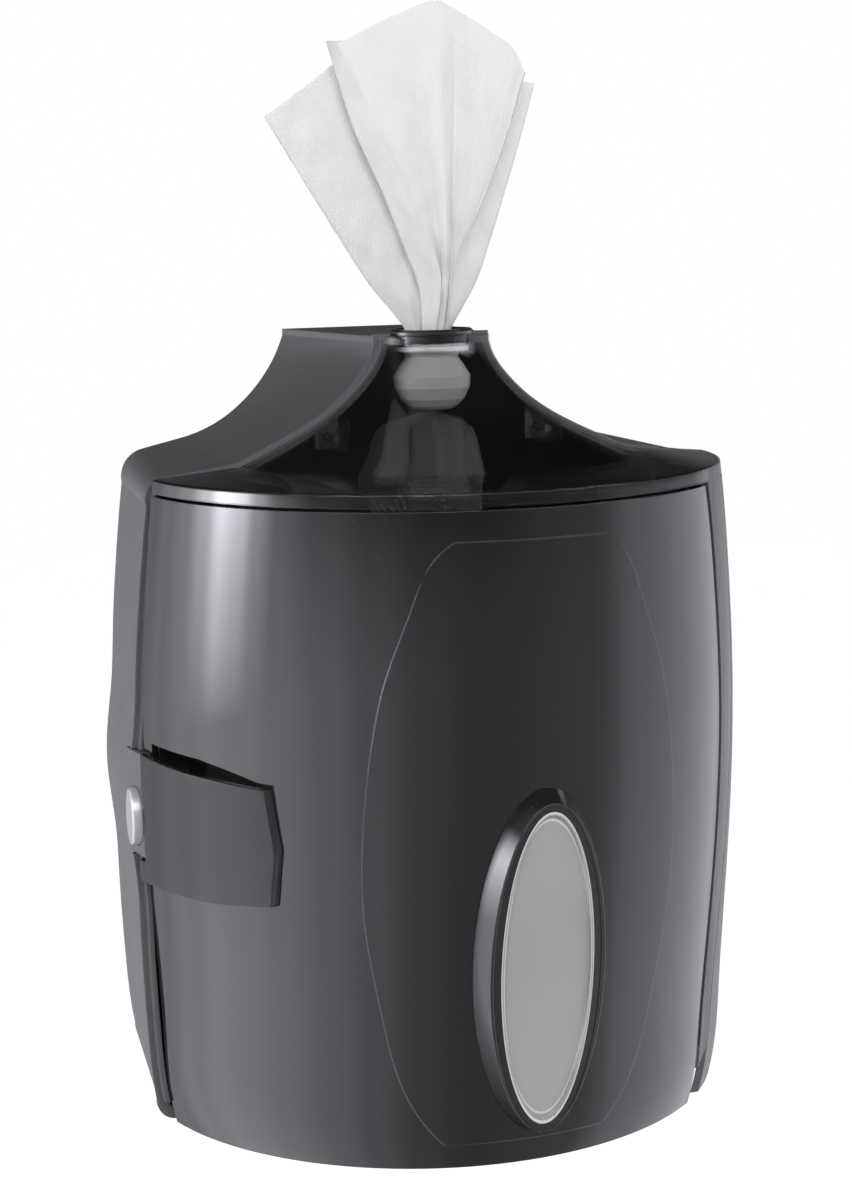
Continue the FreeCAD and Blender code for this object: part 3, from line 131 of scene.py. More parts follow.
def add(tree, kind, **settings):
    """A new node with its settings."""
    made = tree.nodes.new(kind)
    for key, value in settings.items():
        setattr(made, key, value)
    return made


def maths(tree, operation, first, second=None, clamp=False):
    """A maths node fed by sockets or numbers; gives its output."""
    made = add(tree, "ShaderNodeMath", operation=operation, use_clamp=clamp)
    for index, value in enumerate((first, second)):
        if value is None:
            continue
        if isinstance(value, (int, float)):
            made.inputs[index].default_value = value
        else:
            tree.links.new(value, made.inputs[index])
    return made.outputs[0]


def spread(tree, value, low, high, to_low, to_high):
    """Map a value from one range to another."""
    made = add(tree, "ShaderNodeMapRange", clamp=True)
    tree.links.new(value, made.inputs["Value"])
    for name, number in (("From Min", low), ("From Max", high), ("To Min", to_low), ("To Max", to_high)):
        made.inputs[name].default_value = number
    return made.outputs["Result"]


def blend_colours(tree, share, first, second):
    """Mix two colours by a share."""
    made = add(tree, "ShaderNodeMix", data_type="RGBA", blend_type="MIX")
    tree.links.new(share, made.inputs["Factor"])
    for name, value in (("A", first), ("B", second)):
        into = [s for s in made.inputs if s.name == name and s.type == "RGBA"][0]
        if hasattr(value, "is_linked"):
            tree.links.new(value, into)
        else:
            into.default_value = (*value, 1.0)
    return [s for s in made.outputs if s.type == "RGBA"][0]


def shader_group(name, inputs, outputs):
    """An empty shader node group with named sockets."""
    tree = bpy.data.node_groups.new(name, "ShaderNodeTree")
    for label, kind, value in inputs:
        made = tree.interface.new_socket(name=label, in_out="INPUT", socket_type=kind)
        made.default_value = value
    for label, kind in outputs:
        tree.interface.new_socket(name=label, in_out="OUTPUT", socket_type=kind)
    return tree, add(tree, "NodeGroupInput"), add(tree, "NodeGroupOutput")


def moulded_grain():
    """Fine texture of moulded plastic, with a slow change of tone."""
    name = "moulded grain"
    if name in bpy.data.node_groups:
        return bpy.data.node_groups[name]
    tree, inside, outside = shader_group(
        name, [("Vector", "NodeSocketVector", (0, 0, 0)), ("Scale", "NodeSocketFloat", 1600.0)],
        [("Height", "NodeSocketFloat"), ("Tone", "NodeSocketFloat")])
    fine = add(tree, "ShaderNodeTexVoronoi", feature="SMOOTH_F1")
    soft = add(tree, "ShaderNodeTexNoise")
    slow = add(tree, "ShaderNodeTexNoise")
    tree.links.new(inside.outputs["Vector"], fine.inputs["Vector"])
    tree.links.new(inside.outputs["Vector"], soft.inputs["Vector"])
    tree.links.new(inside.outputs["Vector"], slow.inputs["Vector"])
    tree.links.new(inside.outputs["Scale"], fine.inputs["Scale"])
    tree.links.new(maths(tree, "MULTIPLY", inside.outputs["Scale"], 0.35), soft.inputs["Scale"])
    soft.inputs["Detail"].default_value = 3.0
    slow.inputs["Scale"].default_value = 9.0
    slow.inputs["Detail"].default_value = 4.0
    mixed = maths(tree, "ADD", maths(tree, "MULTIPLY", fine.outputs["Distance"], 0.6),
                  maths(tree, "MULTIPLY", soft.outputs["Fac"], 0.5))
    tree.links.new(mixed, outside.inputs["Height"])
    tree.links.new(spread(tree, slow.outputs["Fac"], 0.3, 0.7, 0.0, 1.0), outside.inputs["Tone"])
    return tree


def handling_wear():
    """Faint wiping marks, fine scratches and specks of dust."""
    name = "handling wear"
    if name in bpy.data.node_groups:
        return bpy.data.node_groups[name]
    tree, inside, outside = shader_group(
        name, [("Vector", "NodeSocketVector", (0, 0, 0)), ("Amount", "NodeSocketFloat", 1.0)],
        [("Mask", "NodeSocketFloat"), ("Dust", "NodeSocketFloat")])
    turn = add(tree, "ShaderNodeMapping")
    turn.inputs["Rotation"].default_value = (0.3, 0.2, 0.5)
    turn.inputs["Scale"].default_value = (26.0, 26.0, 420.0)
    tree.links.new(inside.outputs["Vector"], turn.inputs["Vector"])
    lines = add(tree, "ShaderNodeTexNoise")
    lines.inputs["Scale"].default_value = 1.0
    lines.inputs["Detail"].default_value = 5.0
    tree.links.new(turn.outputs["Vector"], lines.inputs["Vector"])
    patches = add(tree, "ShaderNodeTexNoise")
    patches.inputs["Scale"].default_value = 22.0
    patches.inputs["Detail"].default_value = 3.0
    tree.links.new(inside.outputs["Vector"], patches.inputs["Vector"])
    specks = add(tree, "ShaderNodeTexVoronoi")
    specks.inputs["Scale"].default_value = 260.0
    tree.links.new(inside.outputs["Vector"], specks.inputs["Vector"])
    scratch = maths(tree, "MULTIPLY", spread(tree, lines.outputs["Fac"], 0.60, 0.74, 0.0, 1.0),
                    spread(tree, patches.outputs["Fac"], 0.42, 0.66, 0.0, 1.0))
    mask = maths(tree, "ADD", maths(tree, "MULTIPLY", scratch, 0.6),
                 spread(tree, patches.outputs["Fac"], 0.35, 0.75, 0.0, 0.5), clamp=True)
    tree.links.new(maths(tree, "MULTIPLY", mask, inside.outputs["Amount"], clamp=True), outside.inputs["Mask"])
    dust = maths(tree, "MULTIPLY", spread(tree, specks.outputs["Distance"], 0.05, 0.13, 1.0, 0.0),
                 spread(tree, patches.outputs["Fac"], 0.5, 0.7, 0.0, 1.0))
    tree.links.new(maths(tree, "MULTIPLY", dust, inside.outputs["Amount"], clamp=True), outside.inputs["Dust"])
    return tree


def inward_faces():
    """Which faces look towards a point inside the housing: the mask for the painted shade on the housing's
    inside.
    """
    name = "inward faces"
    if name in bpy.data.node_groups:
        return bpy.data.node_groups[name]
    tree, inside, outside = shader_group(
        name, [("Vector", "NodeSocketVector", (0, 0, 0)), ("Normal", "NodeSocketVector", (0, 0, 1)),
               ("Centre", "NodeSocketVector", (0.0, -0.09, 0.04))],
        [("Mask", "NodeSocketFloat")])
    away = add(tree, "ShaderNodeVectorMath", operation="SUBTRACT")
    tree.links.new(inside.outputs["Vector"], away.inputs[0])
    tree.links.new(inside.outputs["Centre"], away.inputs[1])
    unit = add(tree, "ShaderNodeVectorMath", operation="NORMALIZE")
    tree.links.new(away.outputs["Vector"], unit.inputs[0])
    facing = add(tree, "ShaderNodeVectorMath", operation="DOT_PRODUCT")
    tree.links.new(unit.outputs["Vector"], facing.inputs[0])
    tree.links.new(inside.outputs["Normal"], facing.inputs[1])
    tree.links.new(spread(tree, facing.outputs["Value"], -0.08, 0.02, 1.0, 0.0), outside.inputs["Mask"])
    return tree


def pressed_cloth():
    """Fine ribs and fibres of a wipe, with a cloudy change in their depth, on its own flat coordinates in
    millimetres.
    """
    name = "pressed cloth"
    if name in bpy.data.node_groups:
        return bpy.data.node_groups[name]
    tree, inside, outside = shader_group(
        name, [("Vector", "NodeSocketVector", (0, 0, 0)), ("Rib Pitch", "NodeSocketFloat", 0.9)],
        [("Height", "NodeSocketFloat"), ("Tone", "NodeSocketFloat")])
    parts = add(tree, "ShaderNodeSeparateXYZ")
    tree.links.new(inside.outputs["Vector"], parts.inputs[0])
    drift = add(tree, "ShaderNodeTexNoise")
    drift.inputs["Scale"].default_value = 0.11
    tree.links.new(inside.outputs["Vector"], drift.inputs["Vector"])
    across = maths(tree, "ADD", parts.outputs["X"], maths(tree, "MULTIPLY", drift.outputs["Fac"], 1.6))
    turns = maths(tree, "MULTIPLY", maths(tree, "DIVIDE", across, inside.outputs["Rib Pitch"]), math.tau)
    ribs = maths(tree, "SINE", turns)
    fibres = add(tree, "ShaderNodeTexNoise")
    fibres.inputs["Scale"].default_value = 1.7
    fibres.inputs["Detail"].default_value = 6.0
    fibres.inputs["Roughness"].default_value = 0.7
    tree.links.new(inside.outputs["Vector"], fibres.inputs["Vector"])
    cloud = add(tree, "ShaderNodeTexNoise")
    cloud.inputs["Scale"].default_value = 0.05
    cloud.inputs["Detail"].default_value = 3.0
    tree.links.new(inside.outputs["Vector"], cloud.inputs["Vector"])
    weight = spread(tree, cloud.outputs["Fac"], 0.38, 0.62, 0.35, 1.0)
    ribbed = maths(tree, "MULTIPLY", maths(tree, "MULTIPLY", ribs, 0.35), weight)
    height = maths(tree, "ADD", ribbed, maths(tree, "MULTIPLY", fibres.outputs["Fac"], 0.9))
    tree.links.new(height, outside.inputs["Height"])
    tone = maths(tree, "ADD", spread(tree, fibres.outputs["Fac"], 0.3, 0.7, 0.0, 0.6),
                 maths(tree, "MULTIPLY", cloud.outputs["Fac"], 0.5), clamp=True)
    tree.links.new(tone, outside.inputs["Tone"])
    return tree


def place_group(tree, group, **values):
    """Put a shader group in a material and set its plain inputs."""
    made = add(tree, "ShaderNodeGroup", node_tree=group)
    for key, value in values.items():
        made.inputs[key.replace("_", " ")].default_value = value
    return made


def fresh_material(name):
    """An empty node material with its output and a Principled shader."""
    made = bpy.data.materials.new(name)
    made.use_nodes = True
    tree = made.node_tree
    tree.nodes.clear()
    out = add(tree, "ShaderNodeOutputMaterial")
    shader = add(tree, "ShaderNodeBsdfPrincipled")
    tree.links.new(shader.outputs["BSDF"], out.inputs["Surface"])
    return made, tree, shader


def plastic(name, colour, lift=0.2, rough=(0.1, 0.2), grain=0.0, scale=1600.0, wear=0.5, metal=0.0,
            alpha=1.0, ior=1.5, inside_painted_shade=None, dust=(0.5, 0.5, 0.5), edge=0.0, rim=None,
            solid_from=None):
    """A moulded or plated finish: tone change, grain, wiping marks, dust and softened edges, with optional
    painted shade on faces turned inside and an optional painted highlight round an oval's rim.
    """
    made, tree, shader = fresh_material(name)
    where = add(tree, "ShaderNodeTexCoord")
    grained = place_group(tree, moulded_grain(), Scale=scale)
    worn = place_group(tree, handling_wear(), Amount=wear)
    for group in (grained, worn):
        tree.links.new(where.outputs["Object"], group.inputs["Vector"])
    lighter = tuple(min(1.0, c * (1.0 + lift)) for c in colour)
    darker = tuple(c * (1.0 - lift * 0.4) for c in colour)
    toned = blend_colours(tree, grained.outputs["Tone"], darker, lighter)
    toned = blend_colours(tree, maths(tree, "MULTIPLY", worn.outputs["Dust"], 0.18), toned, dust)
    if inside_painted_shade is not None:
        # Painted shade: faces turned inside the housing get a near-black colour standing for the shade within
        # it.
        inward = place_group(tree, inward_faces())
        tree.links.new(where.outputs["Object"], inward.inputs["Vector"])
        tree.links.new(where.outputs["Normal"], inward.inputs["Normal"])
        toned = blend_colours(tree, inward.outputs["Mask"], toned, inside_painted_shade)
    # Painted highlight: a bright ring at twice the base colour round the oval's rim.
    if rim is not None:
        toned = blend_colours(tree, oval_rim_highlight(tree, where, rim), toned, tuple(min(1.0, c * 2.0) for c in colour))
    tree.links.new(toned, shader.inputs["Base Color"])
    tree.links.new(spread(tree, worn.outputs["Mask"], 0.0, 1.0, *rough), shader.inputs["Roughness"])
    bump = add(tree, "ShaderNodeBump")
    bump.inputs["Strength"].default_value = grain
    bump.inputs["Distance"].default_value = 0.00012
    tree.links.new(grained.outputs["Height"], bump.inputs["Height"])
    tree.links.new(bump.outputs["Normal"], shader.inputs["Normal"])
    if edge > 0.0:
        soft = add(tree, "ShaderNodeBevel", samples=4)
        soft.inputs["Radius"].default_value = edge
        tree.links.new(soft.outputs["Normal"], bump.inputs["Normal"])
    shader.inputs["Metallic"].default_value = metal
    shader.inputs["Alpha"].default_value = alpha
    if solid_from is not None:
        ends = add(tree, "ShaderNodeSeparateXYZ")
        tree.links.new(where.outputs["Object"], ends.inputs[0])
        far = maths(tree, "ABSOLUTE", ends.outputs["X"])
        tree.links.new(spread(tree, far, solid_from - 0.022, solid_from, alpha, 0.97), shader.inputs["Alpha"])
    shader.inputs["IOR"].default_value = ior
    return made


def oval_rim_highlight(tree, where, rim):
    """Mask of the thin painted highlight band just inside an oval's edge, and of its outermost edge: centre and
    half sizes, in metres.
    """
    centre, halves = rim
    fit = add(tree, "ShaderNodeMapping")
    fit.vector_type = "TEXTURE"
    fit.inputs["Location"].default_value = centre
    fit.inputs["Scale"].default_value = (halves[0], 1.0, halves[1])
    tree.links.new(where.outputs["Object"], fit.inputs["Vector"])
    parts = add(tree, "ShaderNodeSeparateXYZ")
    tree.links.new(fit.outputs["Vector"], parts.inputs[0])
    reach = maths(tree, "SQRT", maths(tree, "ADD", maths(tree, "POWER", maths(tree, "ABSOLUTE", parts.outputs["X"]), 2.0),
                                      maths(tree, "POWER", maths(tree, "ABSOLUTE", parts.outputs["Z"]), 2.0)))
    rise = spread(tree, reach, 0.925, 0.935, 0.0, 0.8)
    fall = spread(tree, reach, 0.940, 0.950, 1.0, 0.0)
    outer = spread(tree, reach, 0.975, 0.985, 0.0, 1.0)
    return maths(tree, "ADD", maths(tree, "MULTIPLY", rise, fall), outer, clamp=True)


def cloth(name, colour):
    """Damp white wipe: ribbed, fibrous and softly sheened."""
    made, tree, shader = fresh_material(name)
    flat = add(tree, "ShaderNodeUVMap", uv_map="flat")
    pressed = place_group(tree, pressed_cloth())
    tree.links.new(flat.outputs["UV"], pressed.inputs["Vector"])
    darker = tuple(c * 0.93 for c in colour)
    tree.links.new(blend_colours(tree, pressed.outputs["Tone"], darker, colour), shader.inputs["Base Color"])
    tree.links.new(spread(tree, pressed.outputs["Tone"], 0.0, 1.0, 0.82, 0.94), shader.inputs["Roughness"])
    bump = add(tree, "ShaderNodeBump")
    bump.inputs["Strength"].default_value = 0.8
    bump.inputs["Distance"].default_value = 0.00035
    tree.links.new(pressed.outputs["Height"], bump.inputs["Height"])
    tree.links.new(bump.outputs["Normal"], shader.inputs["Normal"])
    shader.inputs["Sheen Weight"].default_value = 0.15
    shader.inputs["Sheen Roughness"].default_value = 0.5
    shader.inputs["Specular IOR Level"].default_value = 0.25
    return made


def cover(names, made):
    """Give a material to every slot of these CAD nodes."""
    for name in names:
        target = NODES[name]
        if not target.material_slots:
            target.data.materials.append(made)
        for slot in target.material_slots:
            slot.material = made


# Mesh helpers

def smooth_run(points, share):
    """A point at a share of the way along a run, on a smooth curve through its points."""
    spans = [0.0]
    for a, b in zip(points, points[1:]):
        spans.append(spans[-1] + (Vector(b) - Vector(a)).length)
    want = share * spans[-1]
    index = 0
    while index < len(points) - 2 and want > spans[index + 1]:
        index += 1
    part = (want - spans[index]) / max(spans[index + 1] - spans[index], 1e-9)
    here = Vector(points[index])
    after = Vector(points[index + 1])
    before = Vector(points[max(index - 1, 0)])
    beyond = Vector(points[min(index + 2, len(points) - 1)])
    leave = (after - before) * 0.5
    arrive = (beyond - here) * 0.5
    if index == 0:
        leave = after - here
    if index == len(points) - 2:
        arrive = after - here
    t2 = part * part
    t3 = t2 * part
    return (here * (2 * t3 - 3 * t2 + 1) + leave * (t3 - 2 * t2 + part)
            + after * (3 * t2 - 2 * t3) + arrive * (t3 - t2))


def grid_mesh(name, rows, closed=False):
    """A mesh from rows of points in millimetres, with a flat map in millimetres."""
    tall = len(rows)
    wide = len(rows[0])
    verts = [p * MM for row in rows for p in row]
    faces = []
    columns = wide if closed else wide - 1
    for j in range(tall - 1):
        for i in range(columns):
            k = (i + 1) % wide
            faces.append((j * wide + i, j * wide + k, (j + 1) * wide + k, (j + 1) * wide + i))
    mesh = bpy.data.meshes.new(name)
    mesh.from_pydata(verts, [], faces)
    middle = rows[tall // 2]
    across = [0.0]
    for a, b in zip(middle, middle[1:] + middle[:1]):
        across.append(across[-1] + (b - a).length)
    up = [0.0]
    for j in range(tall - 1):
        up.append(up[-1] + (rows[j + 1][wide // 2] - rows[j][wide // 2]).length)
    flat = mesh.uv_layers.new(name="flat")
    for face in mesh.polygons:
        for corner in face.loop_indices:
            vert = mesh.loops[corner].vertex_index
            i = vert % wide
            j = vert // wide
            if i == 0 and max(mesh.loops[c].vertex_index % wide for c in face.loop_indices) == wide - 1:
                i = wide
            flat.data[corner].uv = (across[i], up[j])
    mesh.polygons.foreach_set("use_smooth", [True] * len(mesh.polygons))
    return mesh


def join_meshes(name, meshes):
    """One mesh from several, keeping the flat map."""
    verts, faces, maps = [], [], []
    for mesh in meshes:
        start = len(verts)
        verts.extend(v.co.copy() for v in mesh.vertices)
        for face in mesh.polygons:
            faces.append(tuple(start + v for v in face.vertices))
            maps.extend(tuple(mesh.uv_layers["flat"].data[c].uv) for c in face.loop_indices)
    made = bpy.data.meshes.new(name)
    made.from_pydata(verts, [], faces)
    flat = made.uv_layers.new(name="flat")
    for corner, place in zip(flat.data, maps):
        corner.uv = place
    made.polygons.foreach_set("use_smooth", [True] * len(made.polygons))
    for mesh in meshes:
        bpy.data.meshes.remove(mesh)
    return made


def new_piece(name, mesh, material):
    """Link a mesh as a piece at the origin."""
    piece = bpy.data.objects.new(name, mesh)
    bpy.context.scene.collection.objects.link(piece)
    mesh.materials.clear()
    mesh.materials.append(material)
    return piece


def thicken(piece, amount):
    """Give a sheet its thickness as real faces."""
    wall = piece.modifiers.new("thickness", "SOLIDIFY")
    wall.thickness = amount
    wall.offset = 0.0
    wall.use_even_offset = False
    bake(piece)


def bake(piece):
    """Turn the evaluated piece into its plain mesh."""
    graph = bpy.context.evaluated_depsgraph_get()
    graph.update()
    made = bpy.data.meshes.new_from_object(piece.evaluated_get(graph))
    piece.modifiers.clear()
    piece.data = made


def wave(seed, count, low, high):
    """Seeded soft wave: a sum of sines of a place and a height."""
    chance = random.Random(seed)
    terms = [(chance.uniform(low, high), chance.uniform(-0.5, 0.5) * high, chance.uniform(0, math.tau),
              chance.uniform(0.5, 1.0)) for _ in range(count)]
    total = sum(t[3] for t in terms)

    def at(u, v):
        return sum(k * math.sin(math.tau * (a * u + b * v) + p) for a, b, p, k in terms) / total
    return at


# Settings

class DispenserFinishes(PropertyGroup):
    """Colours of the dispenser's materials."""
    shell: FloatVectorProperty(name="Grey shell", description="Rear housing and latch housing", size=3,
                               subtype="COLOR", min=0, max=1, default=(0.086, 0.088, 0.091))
    smoke: FloatVectorProperty(name="Smoke plastic", description="Dome and pull band", size=3,
                               subtype="COLOR", min=0, max=1, default=(0.010, 0.010, 0.011))
    door: FloatVectorProperty(name="Door", description="Dark gloss door", size=3,
                              subtype="COLOR", min=0, max=1, default=(0.0070, 0.0075, 0.0080))
    trim: FloatVectorProperty(name="Trim", description="Bezel, ring and pocket", size=3,
                              subtype="COLOR", min=0, max=1, default=(0.014, 0.0145, 0.015))
    rubber: FloatVectorProperty(name="Gasket", description="Black ring round the lens", size=3,
                                subtype="COLOR", min=0, max=1, default=(0.006, 0.006, 0.006))
    lens: FloatVectorProperty(name="Lens", description="Frosted sight window", size=3,
                              subtype="COLOR", min=0, max=1, default=(0.40, 0.40, 0.395))
    silver: FloatVectorProperty(name="Button", description="Silver push button", size=3,
                                subtype="COLOR", min=0, max=1, default=(0.50, 0.50, 0.51))
    pale: FloatVectorProperty(name="Pale plastic", description="Nozzle cup, tray and hinge arms", size=3,
                              subtype="COLOR", min=0, max=1, default=(0.88, 0.88, 0.87))
    steel: FloatVectorProperty(name="Steel", description="Screws, pins, spring and strike", size=3,
                               subtype="COLOR", min=0, max=1, default=(0.50, 0.50, 0.51))
    wipe: FloatVectorProperty(name="Wipe", description="White wipe cloth", size=3,
                              subtype="COLOR", min=0, max=1, default=(0.93, 0.93, 0.92))
    smoke_cover: FloatProperty(name="Smoke cover", description="How much the smoke plastic hides", min=0,
                               max=1, subtype="FACTOR", default=0.26)


class DispenserWipe(PropertyGroup):
    """Sizes of the pulled-out wipe and its web."""
    cloth: FloatProperty(name="Cloth", description="Thickness of the wipe", unit="LENGTH",
                         min=0.0001, max=0.002, default=0.0003)
    flat_width: FloatProperty(name="Web width", description="Width of one wipe before it is gathered",
                              unit="LENGTH", min=0.05, max=0.5, default=0.200)
    flat_length: FloatProperty(name="Fan length", description="Length of web that stands above the ring",
                               unit="LENGTH", min=0.05, max=0.5, default=0.152)
    flat_feed: FloatProperty(name="Feed length", description="Length of web between roll and nozzle",
                             unit="LENGTH", min=0.05, max=0.5, default=0.180)
    ripple: FloatProperty(name="Ripple", description="Depth of the small waves in the cloth",
                          unit="LENGTH", min=0, max=0.005, default=0.0007)
    columns: IntProperty(name="Columns", description="Faces between two fold lines", min=4, max=30,
                         default=12)
    rows: IntProperty(name="Rows", description="Faces from foot to top edge", min=20, max=300,
                      default=130)
    seed: IntProperty(name="Seed", description="Pattern of the small waves", min=0, default=7)


class DispenserRoll(PropertyGroup):
    """Sizes of the wound roll."""
    core: FloatProperty(name="Heart radius", description="Radius of the open heart of the roll",
                        unit="LENGTH", min=0.005, max=0.05, default=0.0205)
    outer: FloatProperty(name="Outer radius", description="Radius of the full roll", unit="LENGTH",
                         min=0.03, max=0.12, default=0.0955)
    turns: IntProperty(name="Turns", description="Visible turns of web", min=5, max=80, default=40)
    seed: IntProperty(name="Seed", description="Pattern of the uneven edges", min=0, default=3)


class DispenserStage(PropertyGroup):
    """Floor and light levels."""
    floor_drop: FloatProperty(name="Floor", description="Height of the floor below the wall centre",
                              unit="LENGTH", min=-3, max=-0.2, default=-0.75)
    floor_size: FloatProperty(name="Floor radius", description="Radius of the floor", unit="LENGTH",
                              min=1, max=20, default=6.0)
    surround: FloatProperty(name="Surround", description="Even light from all sides", min=0, max=2,
                            default=0.52)
    left: FloatProperty(name="Left strip", description="Power of the narrow light on the left",
                        subtype="POWER", min=0, max=200, default=3.5)
    right: FloatProperty(name="Right panel", description="Power of the broad light on the right",
                         subtype="POWER", min=0, max=200, default=5.0)
    top: FloatProperty(name="Front panel", description="Power of the light above the viewer", subtype="POWER",
                       min=0, max=200, default=14.5)


# Pieces

class DISPENSER_OT_shell(Operator):
    """Finish the grey rear housing, latch housing and hinge brackets"""
    bl_idname = "dispenser.shell"
    bl_label = "Grey shell"

    def execute(self, context):
        colours = context.scene.dispenser_finishes
        # The near-black colour given for the inside is painted shade, not the grey plastic's own colour.
        made = plastic("grey shell", tuple(colours.shell), lift=0.12, rough=(0.36, 0.52), grain=0.35,
                       scale=2200.0, wear=0.5, inside_painted_shade=(0.004, 0.004, 0.004), edge=0.0009)
        cover(["rear_housing"], made)
        plain = plastic("grey parts", tuple(colours.shell), lift=0.12, rough=(0.32, 0.48), grain=0.3,
                        scale=2200.0, wear=0.5, edge=0.0008)
        cover(["latch_housing", "hinge_bracket_upper", "hinge_bracket_lower"], plain)
        return {"FINISHED"}


class DISPENSER_OT_smoke(Operator):
    """Finish the see-through smoke dome and the pull band"""
    bl_idname = "dispenser.smoke"
    bl_label = "Smoke dome and band"

    def execute(self, context):
        colours = context.scene.dispenser_finishes
        dome = plastic("smoke dome", tuple(colours.smoke), lift=0.2, rough=(0.02, 0.05), grain=0.0,
                       wear=0.5, alpha=colours.smoke_cover, ior=1.65, dust=(0.3, 0.3, 0.3), edge=0.0010,
                       solid_from=0.106)
        cover(["hood"], dome)
        band = plastic("smoke band", tuple(c * 1.3 for c in colours.smoke), lift=0.2, rough=(0.05, 0.10),
                       grain=0.0, wear=0.8, alpha=0.80, ior=1.42, dust=(0.3, 0.3, 0.3), edge=0.0012)
        cover(["door_grip"], band)
        return {"FINISHED"}


class DISPENSER_OT_door(Operator):
    """Finish the gloss door, the finger pocket and the dark trim"""
    bl_idname = "dispenser.door"
    bl_label = "Door and trim"

    def execute(self, context):
        colours = context.scene.dispenser_finishes
        door = plastic("door gloss", tuple(colours.door), lift=0.12, rough=(0.03, 0.07), grain=0.0,
                       scale=900.0, wear=0.6, dust=(0.3, 0.3, 0.3), edge=0.0005)
        cover(["front_door"], door)
        trim = plastic("dark trim", tuple(colours.trim), lift=0.15, rough=(0.12, 0.20), grain=0.0,
                       wear=0.6, dust=(0.3, 0.3, 0.3), edge=0.0010)
        cover(["nozzle_ring", "grip_pocket", "window_bezel", "lens_retainer"], trim)
        return {"FINISHED"}


class DISPENSER_OT_window(Operator):
    """Finish the gasket and the frosted lens"""
    bl_idname = "dispenser.window"
    bl_label = "Sight window"

    def execute(self, context):
        colours = context.scene.dispenser_finishes
        rubber = plastic("black rubber", tuple(colours.rubber), lift=0.3, rough=(0.35, 0.6), grain=0.3,
                         wear=0.4)
        cover(["window_gasket"], rubber)
        low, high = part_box("window_lens")
        middle = (low + high) / 2
        halves = ((high.x - low.x) / 2, (high.z - low.z) / 2)
        # The rim given here places a painted highlight round the lens's edge.
        lens = plastic("frosted lens", tuple(colours.lens), lift=0.1, rough=(0.16, 0.32), grain=0.12,
                       scale=2600.0, wear=0.7, alpha=0.94, ior=1.5, dust=(0.7, 0.7, 0.7), edge=0.0006,
                       rim=(tuple(middle), halves))
        cover(["window_lens"], lens)
        return {"FINISHED"}


class DISPENSER_OT_latch(Operator):
    """Finish the silver button"""
    bl_idname = "dispenser.latch"
    bl_label = "Push button"

    def execute(self, context):
        colours = context.scene.dispenser_finishes
        silver = plastic("silver button", tuple(colours.silver), lift=0.1, rough=(0.34, 0.46), grain=0.1,
                         scale=1800.0, wear=0.8, metal=0.25, edge=0.0004)
        cover(["latch_button"], silver)
        return {"FINISHED"}


class DISPENSER_OT_hardware(Operator):
    """Finish the pale plastic parts and the steel hardware"""
    bl_idname = "dispenser.hardware"
    bl_label = "Pale parts and steel"

    def execute(self, context):
        colours = context.scene.dispenser_finishes
        pale = plastic("pale plastic", tuple(colours.pale), lift=0.06, rough=(0.34, 0.5), grain=0.25,
                       scale=1500.0, wear=0.5)
        cover(["nozzle_cup", "base_tray", "latch_slider", "hinge_arm_upper", "hinge_arm_lower"], pale)
        steel = plastic("plated steel", tuple(colours.steel), lift=0.15, rough=(0.24, 0.42), grain=0.15,
                        scale=2400.0, wear=0.8, metal=1.0)
        cover(["hood_screws", "grip_screws", "retainer_screws", "latch_housing_screws", "strike_screws",
               "hinge_arm_screws", "tray_screws", "hinge_pin_upper", "hinge_pin_lower",
               "button_spring", "strike_plate"], steel)
        return {"FINISHED"}


def wipe_material(context):
    """The wipe's cloth, made once."""
    name = "wipe cloth"
    if name in bpy.data.materials:
        return bpy.data.materials[name]
    return cloth(name, tuple(context.scene.dispenser_finishes.wipe))


def shaded_web_material(context):
    """The web inside, painted far darker than the fan to stand for the shade it lies in within the dome."""
    name = "damp web"
    if name in bpy.data.materials:
        return bpy.data.materials[name]
    # Painted shade: the wipe's white scaled down to 0.055.
    return cloth(name, tuple(c * 0.055 for c in context.scene.dispenser_finishes.wipe))


def fan_rows(wipe):
    """Rows of points of the fan, from the foot to the top edge."""
    small = wave(wipe.seed, 7, 1.0, 5.0)
    broad = wave(wipe.seed + 1, 4, 0.4, 1.6)
    depth = wipe.ripple / MM
    rows = []
    for j in range(wipe.rows + 1):
        v = j / wipe.rows
        marks = [smooth_run(run, v) for run, _ in FAN_FOLDS]
        sharp = [turn for _, turn in FAN_FOLDS]
        row = []
        for k in range(len(marks) - 1):
            a = marks[k]
            b = marks[k + 1]
            before = marks[k - 1] if k else a - (b - a)
            beyond = marks[k + 2] if k + 2 < len(marks) else b + (b - a)
            leave = (b - before) * 0.5 * (1 - sharp[k]) + (b - a) * sharp[k]
            arrive = (beyond - a) * 0.5 * (1 - sharp[k + 1]) + (b - a) * sharp[k + 1]
            span = (b - a).length
            side = Vector((0, 0, 1)).cross(b - a)
            side = side / max(side.length, 1e-9)
            for i in range(wipe.columns):
                t = i / wipe.columns
                t2 = t * t
                t3 = t2 * t
                p = (a * (2 * t3 - 3 * t2 + 1) + leave * (t3 - 2 * t2 + t)
                     + b * (3 * t2 - 2 * t3) + arrive * (t3 - t2))
                hold = math.sin(math.pi * t) * min(1.0, span / 12.0)
                u = k + t
                p = p + side * hold * depth * (small(u * 0.33, v * 3.0) * 1.1 + broad(u * 0.5, v) * 1.6)
                row.append(p)
        row.append(marks[-1])
        crease = math.exp(-((v - 0.905) / 0.006) ** 2)
        first = 5 * wipe.columns
        last = 9 * wipe.columns
        for i in range(first, last):
            fade = math.sin(math.pi * (i - first) / (last - first))
            row[i] = row[i] + Vector((0, -0.5, 0)) * crease * fade
        rows.append(row)
    return rows


